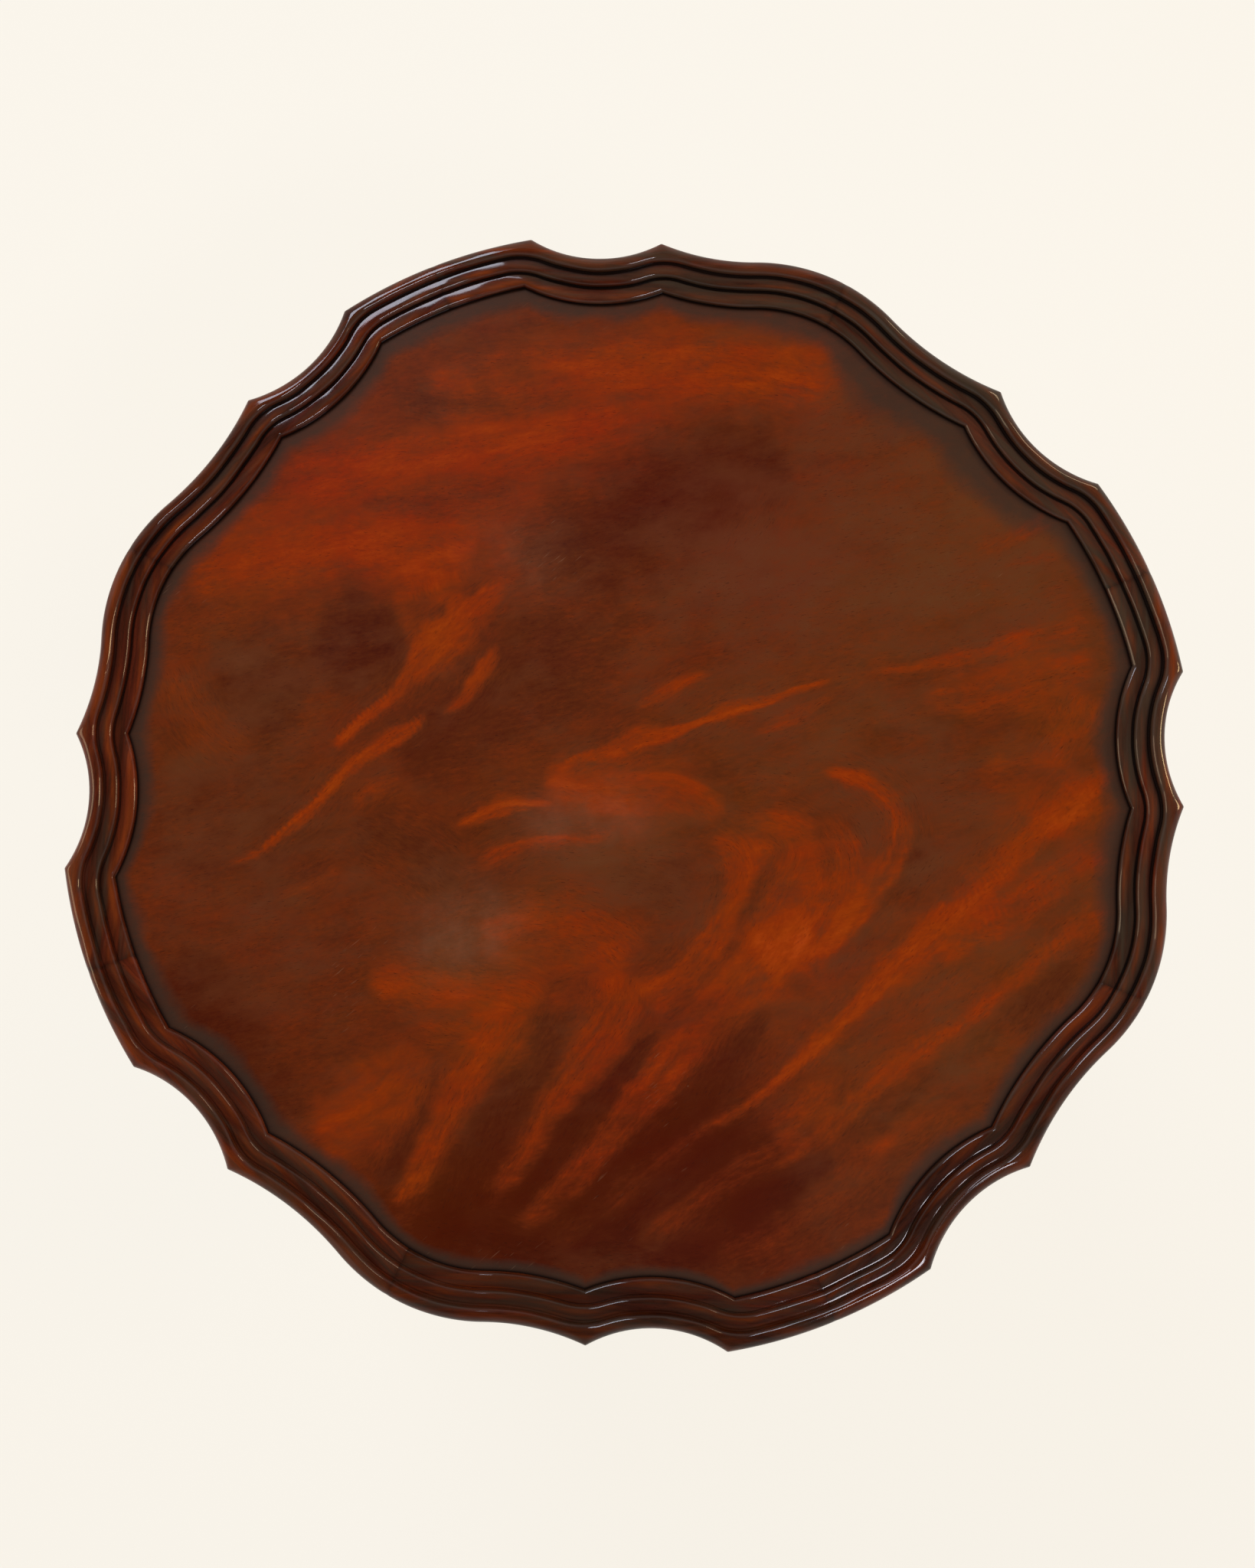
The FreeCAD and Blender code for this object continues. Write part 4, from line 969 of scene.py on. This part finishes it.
nodeFinishes = {
    "pedestal": turnedFinish, "upper_column": turnedFinish,
    "lower_hub": hubFinish, "upper_hub": hubFinish,
    "lower_core": coreFinish, "upper_core": coreFinish,
    "lower_back_veneer": plainFinish, "upper_back_veneer": plainFinish,
    "lower_thrust_washer": brassFinish, "upper_thrust_washer": brassFinish,
    "spider_plate": ironFinish,
    "retaining_washer": steelFinish, "retaining_screw": steelFinish,
    "spider_screws": steelFinish, "lower_hub_screws": steelFinish, "upper_hub_screws": steelFinish,
}
legSlope = 38                 # degrees that the grain falls down each leg
for leg, direction in (("front_leg", -90), ("right_leg", 30), ("left_leg", 150)):
    nodeFinishes[leg] = solidMahogany("carvedMahogany_" + leg, solidLook, legSlope, direction)

for node, finish in nodeFinishes.items():
    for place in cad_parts[node].material_slots:
        place.material = finish
print("finishes on", len(nodeFinishes), "carried-over nodes")

# floor, light and camera

studio = {
    "floorSize": 14.0,
    "floorColour": "#F9F5EC",
    "floorShare": 0.16,       # of the floor's tone that lamps and shadow make
    "floorGlow": 0.867,
    "bounce": "#d8d2c8",      # what the floor throws back at the table
    "horizon": 0.90,          # world brightness at the horizon and overhead
    "overhead": 0.08,
    "lampDistance": 2.4,
    "target": (0, 0, 0.70),
}


def paleFloor():
    # painted studio floor: pale to the eye and in reflections, and it keeps a soft shadow
    finish, add = newFinish("paleStudioFloor")
    path = add("LightPath")
    seen = path.outputs["Is Camera Ray"]
    for ray in ("Is Glossy Ray", "Is Transmission Ray"):
        seen = add("Math", {"operation": "MAXIMUM", 0: seen, 1: path.outputs[ray]})
    tone = srgb(studio["floorColour"])
    shaded = tuple(part * studio["floorShare"] for part in tone[:3]) + (1.0,)
    matt = add("BsdfDiffuse", {"Color": shaded})
    glow = add("Emission", {"Color": tone, "Strength": studio["floorGlow"]})
    both = add("AddShader", {0: matt, 1: glow})
    plain = add("BsdfDiffuse", {"Color": srgb(studio["bounce"])})
    surface = add("MixShader", {0: seen, 1: plain, 2: both})
    add("OutputMaterial", {"Surface": surface})
    return finish


corners = np.array([(-1, -1, 0), (1, -1, 0), (1, 1, 0), (-1, 1, 0)]) * studio["floorSize"]
floor = meshObject("studio_floor", corners, [[0, 1, 2, 3]], {})
floor.data.materials.append(paleFloor())

world = bpy.data.worlds.new("studioAir")
bpy.context.scene.world = world
world.use_nodes = True
world.node_tree.nodes.clear()
add = partial(addNode, world.node_tree)
sky = add("TexCoord").outputs["Generated"]
height = add("SeparateXYZ", {"Vector": sky}).outputs["Z"]
rise = add("MapRange", {"interpolation_type": "SMOOTHSTEP", "Value": height, "From Min": 0.25,
                        "From Max": 0.85, "To Min": studio["horizon"], "To Max": studio["overhead"]})
backdrop = add("Background", {"Color": srgb(studio["floorColour"]), "Strength": rise})
add("OutputWorld", {"Surface": backdrop})


# bearing in the view, elevation, width, height, share of full light, tone
lamps = {
    "windowLight": (114, 46, 0.7, 0.6, 0.32, "#e8eeff"),
    "rightLight": (8, 26, 0.6, 0.35, 0.13, "#ffd8a0"),
    "backLight": (50, 32, 0.5, 0.3, 0.06, "#ffdcb0"),
    "leftLight": (182, 24, 1.2, 0.7, 0.11, "#ffddb0"),
    "frontLight": (304, 57, 0.5, 0.25, 0.21, "#f6f4ff"),
}


def softLight(name, bearing, elevation, width, height, share, tone):
    # a lamp that gives a level surface this share of full light: P = share * pi^2 * d^2 / sin(elevation)
    turn = math.radians(bearing - viewTurn)
    lean = math.radians(elevation)
    distance = studio["lampDistance"]
    lamp = bpy.data.lights.new(name, "AREA")
    lamp.shape = "RECTANGLE"
    lamp.size = width
    lamp.size_y = height
    lamp.energy = share * math.pi ** 2 * distance ** 2 / math.sin(lean)
    lamp.color = srgb(tone)[:3]
    piece = bpy.data.objects.new(name, lamp)
    bpy.context.scene.collection.objects.link(piece)
    away = Vector((math.cos(turn) * math.cos(lean), math.sin(turn) * math.cos(lean), math.sin(lean)))
    piece.location = Vector(studio["target"]) + away * distance
    piece.rotation_euler = away.to_track_quat("Z", "Y").to_euler()


for name, sizes in lamps.items():
    softLight(name, *sizes)

cameraView = {
    "focalPixels": 1800.0,
    "frameHeight": 2048.0,
    "sensor": 36.0,
    "tip": (6.52, 0.84),
    "crest": 0.72,            # height of the table
    "offset": (0.0121, -0.0917),
    "overCrest": 0.7308,
}
lens = bpy.data.cameras.new("studioCamera")
lens.sensor_fit = "VERTICAL"
lens.sensor_height = cameraView["sensor"]
lens.lens = cameraView["sensor"] * cameraView["focalPixels"] / cameraView["frameHeight"]
lens.clip_end = 100
turnMatrix = Matrix.Rotation(math.radians(-viewTurn), 4, "Z")
tipMatrix = (Matrix.Rotation(math.radians(cameraView["tip"][1]), 4, "Y")
             @ Matrix.Rotation(math.radians(cameraView["tip"][0]), 4, "X"))
spot = turnMatrix @ Vector((*cameraView["offset"], cameraView["crest"] + cameraView["overCrest"]))
camera = bpy.data.objects.new("studioCamera", lens)
bpy.context.scene.collection.objects.link(camera)
camera.matrix_world = Matrix.Translation(spot) @ turnMatrix @ tipMatrix
bpy.context.scene.camera = camera
bpy.context.scene.view_settings.view_transform = "Standard"
